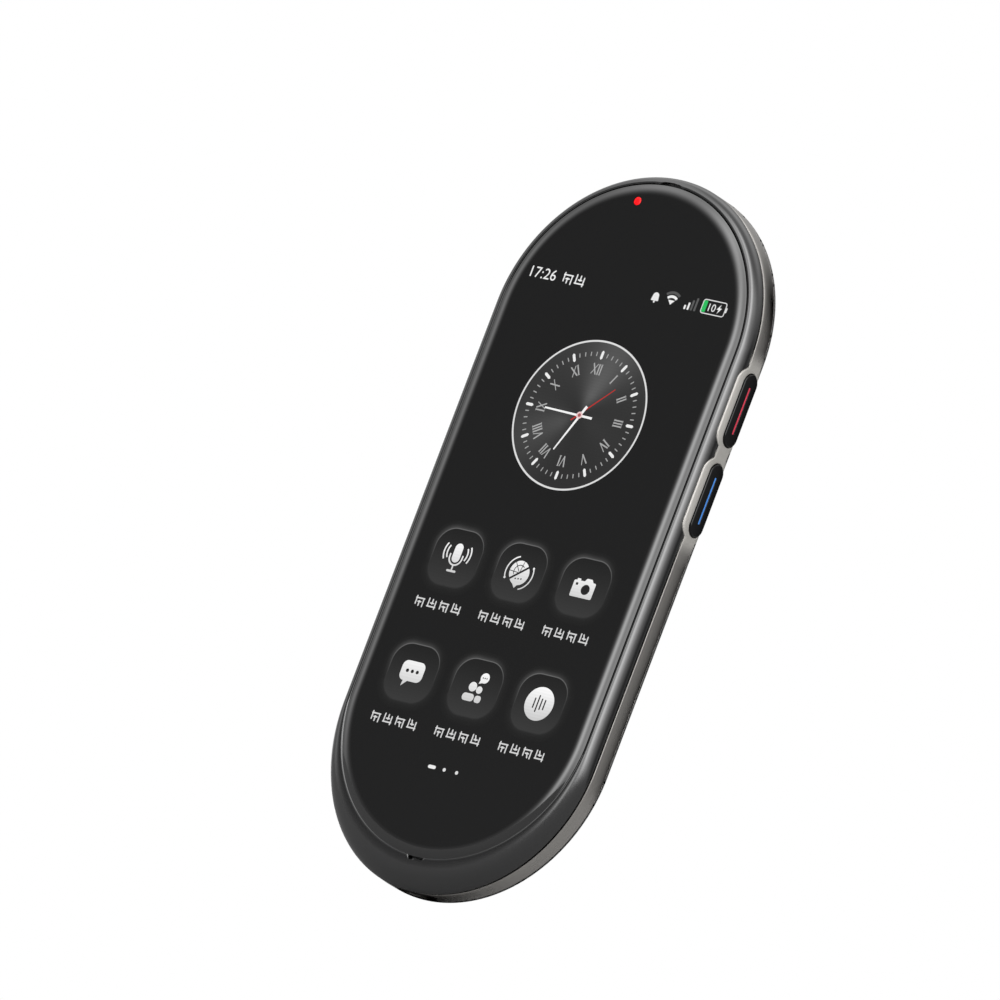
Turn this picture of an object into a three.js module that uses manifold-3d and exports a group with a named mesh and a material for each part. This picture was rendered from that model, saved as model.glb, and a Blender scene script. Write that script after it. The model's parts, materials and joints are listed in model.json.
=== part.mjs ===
// Handheld translator: a pill-shaped pocket device with a screen, two talk keys and a camera
// Millimetres. +Z runs along the device, the screen faces -Y and the back faces +Y.
// The origin is the middle of the flat back face.

import * as THREE from 'three';
import { mergeVertices } from 'three/addons/utils/BufferGeometryUtils.js';
import Module from 'manifold-3d';

const wasm = await Module();
wasm.setup();

// Whole body
const bodyLength = 133.6;
const bodyWidth = 56.8;
const bodyThickness = 12.6;
const wall = 1.5;

// Clearances and the overrun of every cut
const seamGap = 0.15;
const seatGap = 0.3;
const inlayGap = 0.08;
const overrun = 2;

// Cover glass: rim at the sides and top, and the deep chin below it
const glassSideMargin = 2.05;
const glassTopMargin = 2.0;
const glassChin = 5.8;
const glassThickness = 1.0;
const glassRimWidth = 2.3;
const glassRimDrop = 0.35;

// Screen panel under the glass
const panelTopFromEnd = 20.0;
const panelAboveSocket = 7.6;
const panelThickness = 1.7;

// Front bezel
const bezelDepth = 3.05;
const bezelLand = 0.2;
const ledgeWidth = 2.1;
const ledgeThickness = 0.8;

// Side rail of the middle frame
const railHeight = 3.4;

// Plate behind the screen
const plateThickness = 0.6;

// Back cover: how far its edge curve reaches in from the side
const coverCurveWidth = 9;
const coverWall = 1.3;

// Sound slots at both ends of the glass
const slotLength = 3.6;
const slotWidth = 0.55;
const slotOverlap = 0.15;

// Status light in the glass
const lightX = -5.5;
const lightFromLedge = 1.8;
const lightRadius = 0.72;
const lightFootRadius = 1.6;
const lightFootThickness = 0.6;

// Side keys: depth of their centre line behind the glass, and what they share
const keyDepth = 5.05;
const keyHalfHeight = 1.82;
const keyProud = 0.25;
const keyEdge = 0.25;
const keyTravel = 0.4;
const keyTipGap = 0.1;
const keyFlange = 0.6;
const keyFlangeLip = 0.6;
const islandHalfHeight = 3.5;
const islandSideFlat = 0.5;
const islandReach = 1.0;

// Talk keys on the right side
const talkKeyLength = 13.4;
const talkKeyGap = 3.4;
const talkKeysFromTop = 45.8;
const lineLength = 8.7;
const lineWidth = 0.5;
const lineDepth = 0.5;

// Power key on the left side
const powerKeyLength = 9.3;
const powerKeyFromTop = 29.5;

// Switches behind the keys and the strips of board that carry them
const switchLength = 3.6;
const switchHeight = 2.8;
const switchThickness = 0.7;
const switchTipRadius = 0.8;
const switchTipLength = 0.4;
const stripThickness = 0.6;
const stripHalfHeight = 1.7;
const stripEnd = 4;

// Microphone hole in the rail below the power key, and the microphones
const micHoleRadius = 0.42;
const micHoleFromPowerKey = 9.6;
const micLength = 3.2;
const micWidth = 2.0;
const micHeight = 1.1;
const topMicGap = 0.45;
const lowerMicFromEnd = 3;

// Camera
const cameraFromTop = 34.9;
const cameraRingRadius = 5.1;
const cameraRingProud = 0.55;
const cameraRingEdge = 0.3;
const cameraRingFlange = 1.0;
const cameraRingFlangeThickness = 0.65;
const cameraRingLand = 0.9;
const cameraWindowThickness = 0.4;
const cameraWindowRecess = 0.3;
const cameraSeatWidth = 0.6;
const cameraBarrelGap = 0.7;
const cameraBarrelLength = 2.7;
const cameraLensRadius = 1.3;
const cameraConeDepth = 0.7;
const cameraLensRise = 0.35;
const lensShoulderShare = 0.75;
const cameraModuleSize = 8.6;
const cameraModuleEdge = 0.4;

// Speaker: two arcs of holes round the camera, the outer one just inside the cover's curve
const speakerToCurve = 0.9;
const speakerRowPitch = 2.7;
const speakerOuterCount = 9;
const speakerInnerCount = 8;
const speakerHolePitch = 2.28;
const speakerHoleRadius = 0.68;
const speakerMeshThickness = 0.2;
const speakerMeshMargin = 1.4;
const speakerBoxLength = 22;
const speakerBoxWidth = 6.6;
const speakerBoxEdge = 0.5;

// Boards, and the shields on the main board: what they leave free round them
const boardThickness = 0.8;
const canEdge = 0.25;
const canHeight = 1.8;
const canSpacing = 1.2;
const mainCanToSpeaker = 2.45;
const mainCanToScrews = 2.55;
const radioCanLength = 9.4;
const radioCanToScrews = 4.55;
const radioCanToBoardEnd = 2.4;

// Battery: its room to the boards at its ends, to the key boards and to the back cover
const batteryEndRoom = 3.9;
const batterySideRoom = 2.2;
const batteryBackRoom = 2.3;
const batteryEdge = 0.8;
const batteryCorner = 2;

// USB socket at the bottom end
const usbOpeningWidth = 8.7;
const usbOpeningHeight = 2.8;
const usbShellWall = 0.3;
const usbShellLength = 7.2;
const usbTongueWidth = 6.7;
const usbTongueThickness = 0.7;
const usbTongueSetback = 1.0;
const usbBackWall = 0.8;

// Ribbon from the screen to the lower board
const ribbonWidth = 14;
const ribbonThickness = 0.25;
const ribbonDrop = 1.4;
const ribbonLanding = 3;
const ribbonSlot = 1.2;

// Screws that hold the boards to the plate
const screwHeadRadius = 1.25;
const screwHeadHeight = 0.5;
const screwShankRadius = 0.6;
const screwInset = 2.4;
const upperScrewAboveCamera = 5.5;
const lowerScrewX = 11;

// How finely round shapes are cut into facets
const endSteps = 26;
const coverSteps = 7;
const bezelSteps = 5;
const cornerSteps = 3;
const edgeSteps = 1;
const holeSides = 10;
const ringSides = 36;
const screwSides = 14;
const ribbonSteps = 16;

// Places worked out from the sizes above
const halfWidth = bodyWidth / 2;
const halfLength = bodyLength / 2;
const glassFront = -bodyThickness;
const glassBack = glassFront + glassThickness;
const panelFront = glassBack + seatGap;
const panelBack = panelFront + panelThickness;
const plateFront = panelBack + seatGap;
const plateBack = plateFront + plateThickness;
const boardFront = plateBack + seatGap;
const boardBack = boardFront + boardThickness;
const railFront = glassFront + bezelDepth;
const railBack = railFront + railHeight;
const seamInset = glassSideMargin - seamGap;
const topSeamInset = glassTopMargin - seamGap;
const chinSeamInset = glassChin - seamGap;
const keyY = glassFront + keyDepth;
const sideInner = halfWidth - wall;
const flangeFront = sideInner - seatGap;
const flangeBack = flangeFront - keyFlange;
const switchTip = flangeBack - keyTravel - keyTipGap;
const switchFront = switchTip - switchTipLength;
const switchBack = switchFront - switchThickness;
const stripFront = switchBack - seatGap;
const stripBack = stripFront - stripThickness;
const boardHalfWidth = stripBack - seatGap;
const islandCorner = islandHalfHeight - islandSideFlat;
const talkKeyPitch = talkKeyLength + talkKeyGap;
const talkKeyRedZ = halfLength - talkKeysFromTop + talkKeyPitch / 2;
const talkKeyBlueZ = talkKeyRedZ - talkKeyPitch;
const powerKeyZ = halfLength - powerKeyFromTop;
const cameraZ = halfLength - cameraFromTop;
const speakerOuterRadius = cameraFromTop - coverCurveWidth - speakerToCurve;
const glassHalfWidth = halfWidth - glassSideMargin;
const glassTop = halfLength - glassTopMargin;
const glassBottom = -halfLength + glassChin;

// Finishes
const finish = (color, roughness, metalness) =>
  new THREE.MeshStandardMaterial({ color, roughness, metalness });
const glossBlack = finish(0x1c1c1d, 0.12, 0.1);
const screenBlack = finish(0x212121, 0.3, 0);
const bezelGrey = finish(0x3a3a3b, 0.25, 0.7);
const railGrey = finish(0x85827d, 0.35, 0.9);
const coverGrey = finish(0x737373, 0.45, 0.6);
const keyBlack = finish(0x121313, 0.3, 0.1);
const keyRed = finish(0xe8474b, 0.4, 0.05);
const lineRed = finish(0xbe3246, 0.4, 0);
const lineBlue = finish(0x4682be, 0.4, 0);
const lensBlue = finish(0x16255c, 0.08, 0.2);
const lightRed = finish(0xd81414, 0.4, 0);
const steel = finish(0xa6a8aa, 0.3, 1);
const plateSteel = finish(0x8c8f92, 0.45, 1);
const boardGreen = finish(0x1d4a34, 0.5, 0);
const partBlack = finish(0x1f1f20, 0.6, 0);
const cellSilver = finish(0xb9bcc0, 0.4, 0.6);
const ribbonBrown = finish(0x8a5a22, 0.5, 0.1);

// One closed body from any geometry, with shared corners and its faces pointing out
function solidOf(geometry) {
  const source = geometry.index ? geometry.toNonIndexed() : geometry.clone();
  source.deleteAttribute('normal');
  source.deleteAttribute('uv');
  const merged = mergeVertices(source, 1e-5 * bodyWidth);
  const position = merged.attributes.position;
  const corner = (index) => new THREE.Vector3().fromBufferAttribute(position, index);
  const faces = [];
  let volume = 0;
  for (let i = 0; i < merged.index.count; i += 3) {
    const [a, b, c] = [0, 1, 2].map((step) => merged.index.getX(i + step));
    if (a === b || b === c || a === c) continue;
    faces.push(a, b, c);
    volume += corner(a).dot(corner(b).cross(corner(c)));
  }
  const triVerts = new Uint32Array(volume < 0 ? faces.reverse() : faces);
  const vertProperties = new Float32Array(position.array);
  return new wasm.Manifold(new wasm.Mesh({ numProp: 3, vertProperties, triVerts }));
}

// A geometry for a mesh from a solid
function geometryOf(solid) {
  const { vertProperties, triVerts } = solid.getMesh();
  const geometry = new THREE.BufferGeometry();
  geometry.setAttribute('position', new THREE.BufferAttribute(new Float32Array(vertProperties), 3));
  geometry.setIndex(new THREE.BufferAttribute(new Uint32Array(triVerts), 1));
  geometry.computeVertexNormals();
  return geometry;
}

const joined = (...solids) => solids.reduce((whole, solid) => whole.add(solid));
const cut = (base, ...tools) => tools.reduce((rest, tool) => rest.subtract(tool), base);

// A solid moved by x, y and z
const moved = (solid, x, y, z) => solid.translate([x, y, z]);

// The outline of the body, or of what follows it inwards, as one ring of points at depth y
function pillRing({ side, top, bottom, y }) {
  const ring = [];
  for (let step = 0; step <= endSteps; step += 1) {
    const angle = (Math.PI * step) / endSteps;
    ring.push(new THREE.Vector3(side * Math.cos(angle), y, top - side + side * Math.sin(angle)));
  }
  for (let step = 0; step <= endSteps; step += 1) {
    const angle = Math.PI + (Math.PI * step) / endSteps;
    ring.push(new THREE.Vector3(side * Math.cos(angle), y, bottom + side + side * Math.sin(angle)));
  }
  return ring;
}

// A closed body through pill rings, from the screen side to the back
function pillLoft(layers) {
  const rings = layers.map(pillRing);
  const positions = [];
  const triangle = (a, b, c) => positions.push(...a.toArray(), ...b.toArray(), ...c.toArray());
  const count = rings[0].length;
  for (let i = 0; i < count; i += 1) {
    const next = (i + 1) % count;
    for (let k = 0; k + 1 < rings.length; k += 1) {
      triangle(rings[k][i], rings[k][next], rings[k + 1][i]);
      triangle(rings[k][next], rings[k + 1][next], rings[k + 1][i]);
    }
  }
  const cap = (ring, flip) => {
    for (let i = 1; i + 1 < count; i += 1) {
      triangle(ring[0], flip ? ring[i] : ring[i + 1], flip ? ring[i + 1] : ring[i]);
    }
  };
  cap(rings[0], false);
  cap(rings[rings.length - 1], true);
  const geometry = new THREE.BufferGeometry();
  geometry.setAttribute('position', new THREE.Float32BufferAttribute(positions, 3));
  return solidOf(geometry);
}

// A straight pill-shaped block between two depths, inset from the body's outline
function pillBlock(inset, yFront, yBack) {
  const outline = { side: halfWidth - inset, top: halfLength - inset, bottom: inset - halfLength };
  return pillLoft([{ ...outline, y: yFront }, { ...outline, y: yBack }]);
}

// Flat outlines
function roundedRect(width, height, corner) {
  const x = width / 2;
  const y = height / 2;
  const shape = new THREE.Shape();
  shape.absarc(x - corner, y - corner, corner, 0, Math.PI / 2);
  shape.absarc(corner - x, y - corner, corner, Math.PI / 2, Math.PI);
  shape.absarc(corner - x, corner - y, corner, Math.PI, Math.PI * 1.5);
  shape.absarc(x - corner, corner - y, corner, Math.PI * 1.5, Math.PI * 2);
  return shape;
}

function pillShape(length, radius) {
  const shape = new THREE.Shape();
  shape.absarc(0, length / 2 - radius, radius, 0, Math.PI);
  shape.absarc(0, radius - length / 2, radius, Math.PI, Math.PI * 2);
  return shape;
}

// A slab of a flat outline, with an optional rounded edge on both faces
function slab(shape, thickness, edge = 0) {
  return new THREE.ExtrudeGeometry(shape, {
    depth: thickness - 2 * edge,
    curveSegments: cornerSteps,
    bevelEnabled: edge > 0,
    bevelSize: edge,
    bevelThickness: edge,
    bevelOffset: -edge,
    bevelSegments: edgeSteps,
  }).translate(0, 0, edge);
}

// The outline lies across the body, and the slab runs back from yFront
function backSlab(shape, yFront, thickness, edge = 0) {
  const geometry = slab(shape, thickness, edge);
  return solidOf(geometry.rotateX(Math.PI / 2).translate(0, yFront + thickness, 0));
}

// The outline lies in the side of the body, x along Y and y along Z, and the slab runs out from xInner
function sideSlab(shape, xInner, thickness, edge = 0) {
  const turn = new THREE.Matrix4().makeBasis(
    new THREE.Vector3(0, 1, 0),
    new THREE.Vector3(0, 0, 1),
    new THREE.Vector3(1, 0, 0),
  );
  return solidOf(slab(shape, thickness, edge).applyMatrix4(turn).translate(xInner, 0, 0));
}

// A round bar along Y, or along X
function backBar(radius, yFront, yBack, sides = holeSides) {
  const bar = new THREE.CylinderGeometry(radius, radius, yBack - yFront, sides);
  return solidOf(bar.translate(0, (yFront + yBack) / 2, 0));
}
function sideBar(radius, xInner, xOuter) {
  const bar = new THREE.CylinderGeometry(radius, radius, xOuter - xInner, holeSides);
  return solidOf(bar.rotateZ(Math.PI / 2).translate((xInner + xOuter) / 2, 0, 0));
}

// A body turned about Y from radius and depth pairs
const turned = (profile, sides = ringSides) =>
  solidOf(new THREE.LatheGeometry(profile.map(([radius, y]) => new THREE.Vector2(radius, y)), sides));

// The three key places: side is +1 on the right and -1 on the left
const keyPlaces = [
  { side: 1, z: talkKeyRedZ, length: talkKeyLength },
  { side: 1, z: talkKeyBlueZ, length: talkKeyLength },
  { side: -1, z: powerKeyZ, length: powerKeyLength },
];

// A solid made for the right side at the body's middle, brought to its key's place
function atKey(solid, { side, z }) {
  const turnedSolid = side > 0 ? solid : solid.rotate([0, 0, 180]);
  return moved(turnedSolid, 0, keyY, z);
}

// The island round a key, grown all round for the parts that make room for it
function islandBlock(place, grow) {
  const length = place.length + 2 * (islandReach + grow);
  const shape = roundedRect(2 * (islandHalfHeight + grow), length, islandCorner + grow);
  return atKey(sideSlab(shape, sideInner - overrun, wall + 2 * overrun), place);
}

// The hole for a key in the rail
const keyHole = (place) =>
  atKey(
    sideSlab(
      pillShape(place.length + 2 * seamGap, keyHalfHeight + seamGap),
      sideInner - overrun,
      wall + 2 * overrun,
    ),
    place,
  );

// Room inside the walls for a key's flange
const flangePocket = (place) =>
  atKey(
    sideSlab(
      pillShape(place.length + 2 * (keyFlangeLip + seatGap), keyHalfHeight + keyFlangeLip + seatGap),
      boardHalfWidth,
      sideInner - boardHalfWidth,
    ),
    place,
  );

// The front bezel's outer surface, curved from the glass edge to the rail
function bezelLayers() {
  const seamY = glassFront + glassRimDrop;
  const layers = [];
  for (let step = 0; step <= bezelSteps; step += 1) {
    const angle = (Math.PI / 2) * (step / bezelSteps);
    const inset = 1 - Math.sin(angle);
    layers.push({
      side: halfWidth - (seamInset - bezelLand) * inset,
      top: halfLength - (topSeamInset - bezelLand) * inset,
      bottom: -halfLength + (chinSeamInset - bezelLand) * inset,
      y: seamY + (railFront - seamGap - seamY) * (1 - Math.cos(angle)),
    });
  }
  return layers;
}

// Front bezel: its curved wall, with a ledge that carries the glass and room for the islands
function makeFrontBezel() {
  const pocket = {
    side: halfWidth - seamInset,
    top: halfLength - topSeamInset,
    bottom: chinSeamInset - halfLength,
  };
  const glassPocket = pillLoft([
    { ...pocket, y: glassFront - overrun },
    { ...pocket, y: panelFront },
  ]);
  const opening = {
    side: glassHalfWidth - ledgeWidth,
    top: glassTop - ledgeWidth,
    bottom: glassBottom + ledgeWidth,
  };
  const screenOpening = pillLoft([
    { ...opening, y: glassFront },
    { ...opening, y: railFront + overrun },
  ]);
  const hollow = pillBlock(wall, panelFront + ledgeThickness, railFront + overrun);
  const islandRoom = cut(
    joined(...keyPlaces.map((place) => islandBlock(place, seamGap))),
    pillBlock(wall + seamGap, glassFront, railFront),
  );
  return cut(
    pillLoft(bezelLayers()),
    glassPocket,
    screenOpening,
    hollow,
    soundSlot(halfLength - topSeamInset),
    soundSlot(chinSeamInset - halfLength),
    islandRoom,
    ...keyPlaces.map(flangePocket),
  );
}

// A sound slot through the bezel, open along the glass edge at height z
function soundSlot(z) {
  const outward = Math.sign(z) * (slotWidth / 2 - slotOverlap);
  const shape = roundedRect(slotLength, slotWidth, slotWidth / 2 - inlayGap);
  return moved(backSlab(shape, glassFront - overrun, bezelDepth + 2 * overrun), 0, 0, z + outward);
}

// Middle frame: the rail, and key islands that lie flush in the curves of the bezel and the cover
function makeMidFrame() {
  const body = pillLoft([...bezelLayers(), ...coverLayers(0)]);
  const [rimLayer, ...rest] = coverLayers(wall);
  const inside = pillLoft([{ ...rimLayer, y: glassFront - overrun }, rimLayer, ...rest]);
  const band = backSlab(
    roundedRect(bodyWidth + overrun, bodyLength + overrun, overrun),
    railFront,
    railHeight,
  );
  const islands = keyPlaces.map((place) => islandBlock(place, 0));
  const usbShape = roundedRect(usbOpeningWidth, usbOpeningHeight, usbOpeningHeight / 2 - inlayGap);
  const usbHole = solidOf(slab(usbShape, wall + 2 * overrun).translate(0, usbY, -halfLength - overrun));
  const micHole = sideBar(micHoleRadius, -halfWidth - overrun, -sideInner + overrun);
  return cut(
    joined(band, ...islands).intersect(body),
    inside,
    ...keyPlaces.map(keyHole),
    ...keyPlaces.map(flangePocket),
    usbHole,
    moved(micHole, 0, keyY, sideMicZ),
  );
}

// The back cover's outer or inner surface, inset by its wall: it falls to the rail ever more steeply
function coverLayers(inset) {
  const layers = [];
  const rim = railBack + seamGap;
  for (let step = coverSteps; step >= 0; step -= 1) {
    const fall = step / coverSteps;
    const reach = coverCurveWidth - (coverCurveWidth - inset) * fall;
    layers.push({
      side: halfWidth - reach,
      top: halfLength - reach,
      bottom: reach - halfLength,
      y: (rim + inset) * fall ** 2 - inset,
    });
  }
  return layers;
}

// Places of the speaker holes: two arcs round the camera
function speakerHoles() {
  const rows = [
    { radius: speakerOuterRadius, count: speakerOuterCount },
    { radius: speakerOuterRadius - speakerRowPitch, count: speakerInnerCount },
  ];
  return rows.flatMap(({ radius, count }) =>
    Array.from({ length: count }, (_, i) => {
      const angle = ((i - (count - 1) / 2) * speakerHolePitch) / radius;
      return { x: radius * Math.sin(angle), z: cameraZ + radius * Math.cos(angle) };
    }),
  );
}

// Back cover: a curved shell with room for the islands, the camera and the speaker holes
function makeBackCover() {
  const [rimLayer, ...rest] = coverLayers(coverWall);
  const hollow = pillLoft([{ ...rimLayer, y: rimLayer.y - overrun }, rimLayer, ...rest]);
  const hole = backBar(speakerHoleRadius, -coverWall - overrun, overrun);
  const cameraHole = backBar(cameraRingRadius + seamGap, -coverWall - overrun, overrun, ringSides);
  return cut(
    pillLoft(coverLayers(0)),
    hollow,
    moved(cameraHole, 0, 0, cameraZ),
    ...speakerHoles().map(({ x, z }) => moved(hole, x, 0, z)),
    ...keyPlaces.map((place) => islandBlock(place, seamGap)),
    ...keyPlaces.map(flangePocket),
  );
}

// Cover glass: flat, with a rim that falls away to the bezel, and a hole for the status light
function makeCoverGlass() {
  const ring = (inset, y) => ({
    side: glassHalfWidth - inset,
    top: glassTop - inset,
    bottom: glassBottom + inset,
    y,
  });
  const glass = pillLoft([
    ring(glassRimWidth, glassFront),
    ring(glassRimWidth / 2, glassFront + glassRimDrop / 4),
    ring(0, glassFront + glassRimDrop),
    ring(0, glassBack),
  ]);
  const hole = backBar(lightRadius + inlayGap, glassFront - overrun, glassBack + overrun, ringSides / 2);
  return cut(glass, moved(hole, lightX, 0, lightZ));
}

// A block across the whole body between two heights, which keeps a piece to that stretch
function acrossBody(from, to) {
  const block = new THREE.BoxGeometry(bodyWidth, 2 * bodyThickness, to - from);
  return solidOf(block.translate(0, 0, (from + to) / 2));
}

// Screen panel: as wide as the boards, with corners that follow the round ends of the bezel's opening
function makePanel() {
  const inset = glassHalfWidth - boardHalfWidth;
  const outline = { side: boardHalfWidth, top: glassTop - inset, bottom: glassBottom + inset };
  const whole = pillLoft([
    { ...outline, y: panelFront },
    { ...outline, y: panelBack },
  ]);
  return whole.intersect(acrossBody(panelBottom, halfLength - panelTopFromEnd));
}

// Status light: a short light pipe on a foot that rests on the plate
function makeStatusLight() {
  const foot = plateFront - seatGap;
  return moved(
    turned([
      [0, glassFront],
      [lightRadius, glassFront],
      [lightRadius, foot - lightFootThickness],
      [lightFootRadius, foot - lightFootThickness],
      [lightFootRadius, foot],
      [0, foot],
    ]),
    lightX,
    0,
    lightZ,
  );
}

// Plate behind the screen, with room for the keys, the ribbon and the screws
function makePlate() {
  const slot = roundedRect(ribbonWidth + 2 * seatGap, ribbonSlot, ribbonSlot / 2 - inlayGap);
  const ribbonHole = backSlab(slot, plateFront - overrun, plateThickness + 2 * overrun);
  const screwHole = backBar(screwShankRadius + inlayGap, plateFront - overrun, plateBack + overrun);
  return cut(
    pillBlock(wall + seatGap, plateFront, plateBack),
    moved(ribbonHole, 0, 0, ribbonZ),
    usbNotch(),
    ...stripPlaces.map(stripPocket),
    ...screwPlaces.map(({ x, z }) => moved(screwHole, x, 0, z)),
  );
}

// The strips of board behind the keys: one on the right for both talk keys, one on the left
const rightStripLength = talkKeyPitch + talkKeyLength + stripEnd;
const leftStripLength = powerKeyLength + micHoleFromPowerKey + stripEnd;
const stripPlaces = [
  { side: 1, z: (talkKeyRedZ + talkKeyBlueZ) / 2, length: rightStripLength },
  { side: -1, z: powerKeyZ - micHoleFromPowerKey / 2, length: leftStripLength },
];

// Room in the plate for a strip, its switches and the key flanges
function stripPocket({ side, z, length }) {
  const height = 2 * (islandHalfHeight + seatGap);
  const shape = roundedRect(height, length + 2 * seatGap, islandHalfHeight / 2);
  return atKey(sideSlab(shape, boardHalfWidth, wall + halfWidth - boardHalfWidth), { side, z });
}

// A strip of board on edge behind the keys
function makeStrip({ side, z, length }) {
  const shape = roundedRect(2 * stripHalfHeight, length, stripHalfHeight / 2);
  return atKey(sideSlab(shape, stripBack, stripThickness), { side, z });
}

// A key: a rounded cap through the rail on a flange that stops it from inside
function makeKey(place, withLine) {
  const capLength = halfWidth + keyProud - flangeBack;
  const cap = sideSlab(pillShape(place.length, keyHalfHeight), flangeBack, capLength, keyEdge);
  const flangeShape = pillShape(place.length + 2 * keyFlangeLip, keyHalfHeight + keyFlangeLip);
  const flange = sideSlab(flangeShape, flangeBack, keyFlange);
  const key = joined(cap, flange);
  if (!withLine) return atKey(key, place);
  const slotShape = pillShape(lineLength + 2 * inlayGap, lineWidth / 2 + inlayGap);
  const slot = sideSlab(slotShape, halfWidth + keyProud - lineDepth - inlayGap, lineDepth + overrun);
  return atKey(cut(key, slot), place);
}

// The coloured light line let into a talk key
function makeLine(place) {
  const shape = pillShape(lineLength, lineWidth / 2);
  return atKey(sideSlab(shape, halfWidth + keyProud - lineDepth, lineDepth), place);
}

// A switch behind a key, with its round tip towards the key
function makeSwitch(place) {
  const housing = sideSlab(
    roundedRect(switchHeight, switchLength, switchTipLength),
    switchBack,
    switchThickness,
    inlayGap,
  );
  const tip = sideBar(switchTipRadius, switchBack + switchThickness / 2, switchTip);
  return atKey(joined(housing, tip), place);
}

// Camera ring with its flange behind the cover and a seat for the window
function makeCameraRing() {
  const flangeY = -coverWall - seamGap;
  const flangeBottom = flangeY - cameraRingFlangeThickness;
  const windowRadius = cameraRingRadius - cameraRingLand;
  const seat = cameraRingProud - cameraWindowRecess - cameraWindowThickness - seamGap;
  return turned([
    [cameraBore, flangeBottom],
    [cameraRingRadius + cameraRingFlange, flangeBottom],
    [cameraRingRadius + cameraRingFlange, flangeY],
    [cameraRingRadius, flangeY],
    [cameraRingRadius, cameraRingProud - cameraRingEdge],
    [cameraRingRadius - cameraRingEdge, cameraRingProud],
    [windowRadius + cameraRingEdge, cameraRingProud],
    [windowRadius, cameraRingProud - cameraRingEdge],
    [windowRadius, seat],
    [cameraBore, seat],
    [cameraBore, flangeBottom],
  ]);
}

// Camera window, a plain disc in the ring's seat
function makeCameraWindow() {
  const radius = cameraRingRadius - cameraRingLand - seamGap;
  const back = cameraRingProud - cameraWindowRecess;
  return backBar(radius, back - cameraWindowThickness, back, ringSides);
}

// Camera barrel, with a cone that narrows to the domed lens
function makeCameraBarrel() {
  const mouth = cameraBarrelBack + cameraBarrelLength;
  return turned([
    [0, cameraBarrelBack],
    [cameraBarrelRadius, cameraBarrelBack],
    [cameraBarrelRadius, mouth],
    [cameraBarrelRadius - cameraRingEdge, mouth],
    [cameraLensRadius, mouth - cameraConeDepth],
    [cameraLensRadius / 2, mouth - cameraConeDepth + cameraLensRise * lensShoulderShare],
    [0, mouth - cameraConeDepth + cameraLensRise],
  ]);
}

// Camera module: the block that carries the barrel, on the main board
function makeCameraModule() {
  const front = boardBack + seatGap;
  const shape = roundedRect(cameraModuleSize, cameraModuleSize, cameraModuleEdge * 2);
  return backSlab(shape, front, cameraBarrelBack - seatGap - front, cameraModuleEdge);
}

// Acoustic mesh behind the speaker holes
function makeSpeakerMesh() {
  const outer = speakerOuterRadius + speakerMeshMargin;
  const inner = speakerOuterRadius - speakerRowPitch - speakerMeshMargin;
  const reach = ((speakerOuterCount - 1) / 2) * speakerHolePitch + speakerMeshMargin;
  const spread = reach / speakerOuterRadius;
  const shape = new THREE.Shape();
  shape.absarc(0, 0, outer, Math.PI / 2 - spread, Math.PI / 2 + spread);
  shape.absarc(0, 0, inner, Math.PI / 2 + spread, Math.PI / 2 - spread, true);
  return moved(backSlab(shape, speakerMeshY, speakerMeshThickness), 0, 0, cameraZ);
}

// Speaker box on the main board, under the mesh
function makeSpeakerBox() {
  const shape = roundedRect(speakerBoxLength, speakerBoxWidth, speakerBoxWidth / 4);
  const front = boardBack + seatGap;
  const box = backSlab(shape, front, speakerMeshY - seatGap - front, speakerBoxEdge);
  return moved(box, 0, 0, speakerBoxZ);
}

// A board that fills the body between two heights
const endBoard = (from, to) =>
  pillBlock(halfWidth - boardHalfWidth, boardFront, boardBack).intersect(acrossBody(from, to));

const boardScrewHole = backBar(screwShankRadius + seatGap, boardFront - overrun, boardBack + overrun);

// Main board and lower board, with holes for their screws
const screwHolesAt = (places) => places.map(({ x, z }) => moved(boardScrewHole, x, 0, z));
const makeMainBoard = () => cut(endBoard(mainBoardBottom, halfLength), ...screwHolesAt(mainScrews));
const makeLowerBoard = () =>
  cut(endBoard(-halfLength, lowerBoardTop), usbNotch(), ...screwHolesAt(lowerScrews));

// A pressed shield over the main board between two heights
function makeCan(canHalfWidth, bottom, top) {
  const shape = roundedRect(2 * canHalfWidth, top - bottom, canEdge * 2);
  return moved(backSlab(shape, boardBack + seatGap, canHeight, canEdge), 0, 0, (bottom + top) / 2);
}

// Battery cell between the two boards, resting on the plate
function makeBattery() {
  const width = 2 * (boardHalfWidth - batterySideRoom);
  const length = mainBoardBottom - ribbonZ - 2 * batteryEndRoom;
  const thickness = -coverWall - batteryBackRoom - boardFront;
  const shape = roundedRect(width, length, batteryCorner);
  const battery = backSlab(shape, boardFront, thickness, batteryEdge);
  return moved(battery, 0, 0, (mainBoardBottom + ribbonZ) / 2);
}

// USB socket: an open shell and the tongue inside it, joined to the shell's back wall
function usbBlock(grow, from, to) {
  const corner = usbOpeningHeight / 2 + grow - inlayGap;
  const shape = roundedRect(usbOpeningWidth + 2 * grow, usbOpeningHeight + 2 * grow, corner);
  return solidOf(slab(shape, to - from).translate(0, usbY, from));
}
const makeUsbShell = () =>
  cut(
    usbBlock(usbShellWall, usbMouth, usbEnd),
    usbBlock(0, usbMouth - overrun, usbEnd - usbBackWall),
  );
function makeUsbTongue() {
  const back = usbEnd - usbBackWall - seamGap;
  const base = usbBlock(-seamGap, back - usbBackWall, back);
  const shape = roundedRect(usbTongueWidth, usbTongueThickness, usbTongueThickness / 2 - inlayGap);
  const from = usbMouth + usbTongueSetback;
  return joined(base, solidOf(slab(shape, back - usbBackWall / 2 - from).translate(0, usbY, from)));
}

// The notch that the plate and the lower board leave for the socket
function usbNotch() {
  const width = 2 * (usbHalfWidth + seatGap);
  const end = usbEnd + seatGap;
  const start = -halfLength - overrun;
  const notch = new THREE.BoxGeometry(width, bodyThickness, end - start);
  return solidOf(notch.translate(0, usbY, (start + end) / 2));
}

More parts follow.
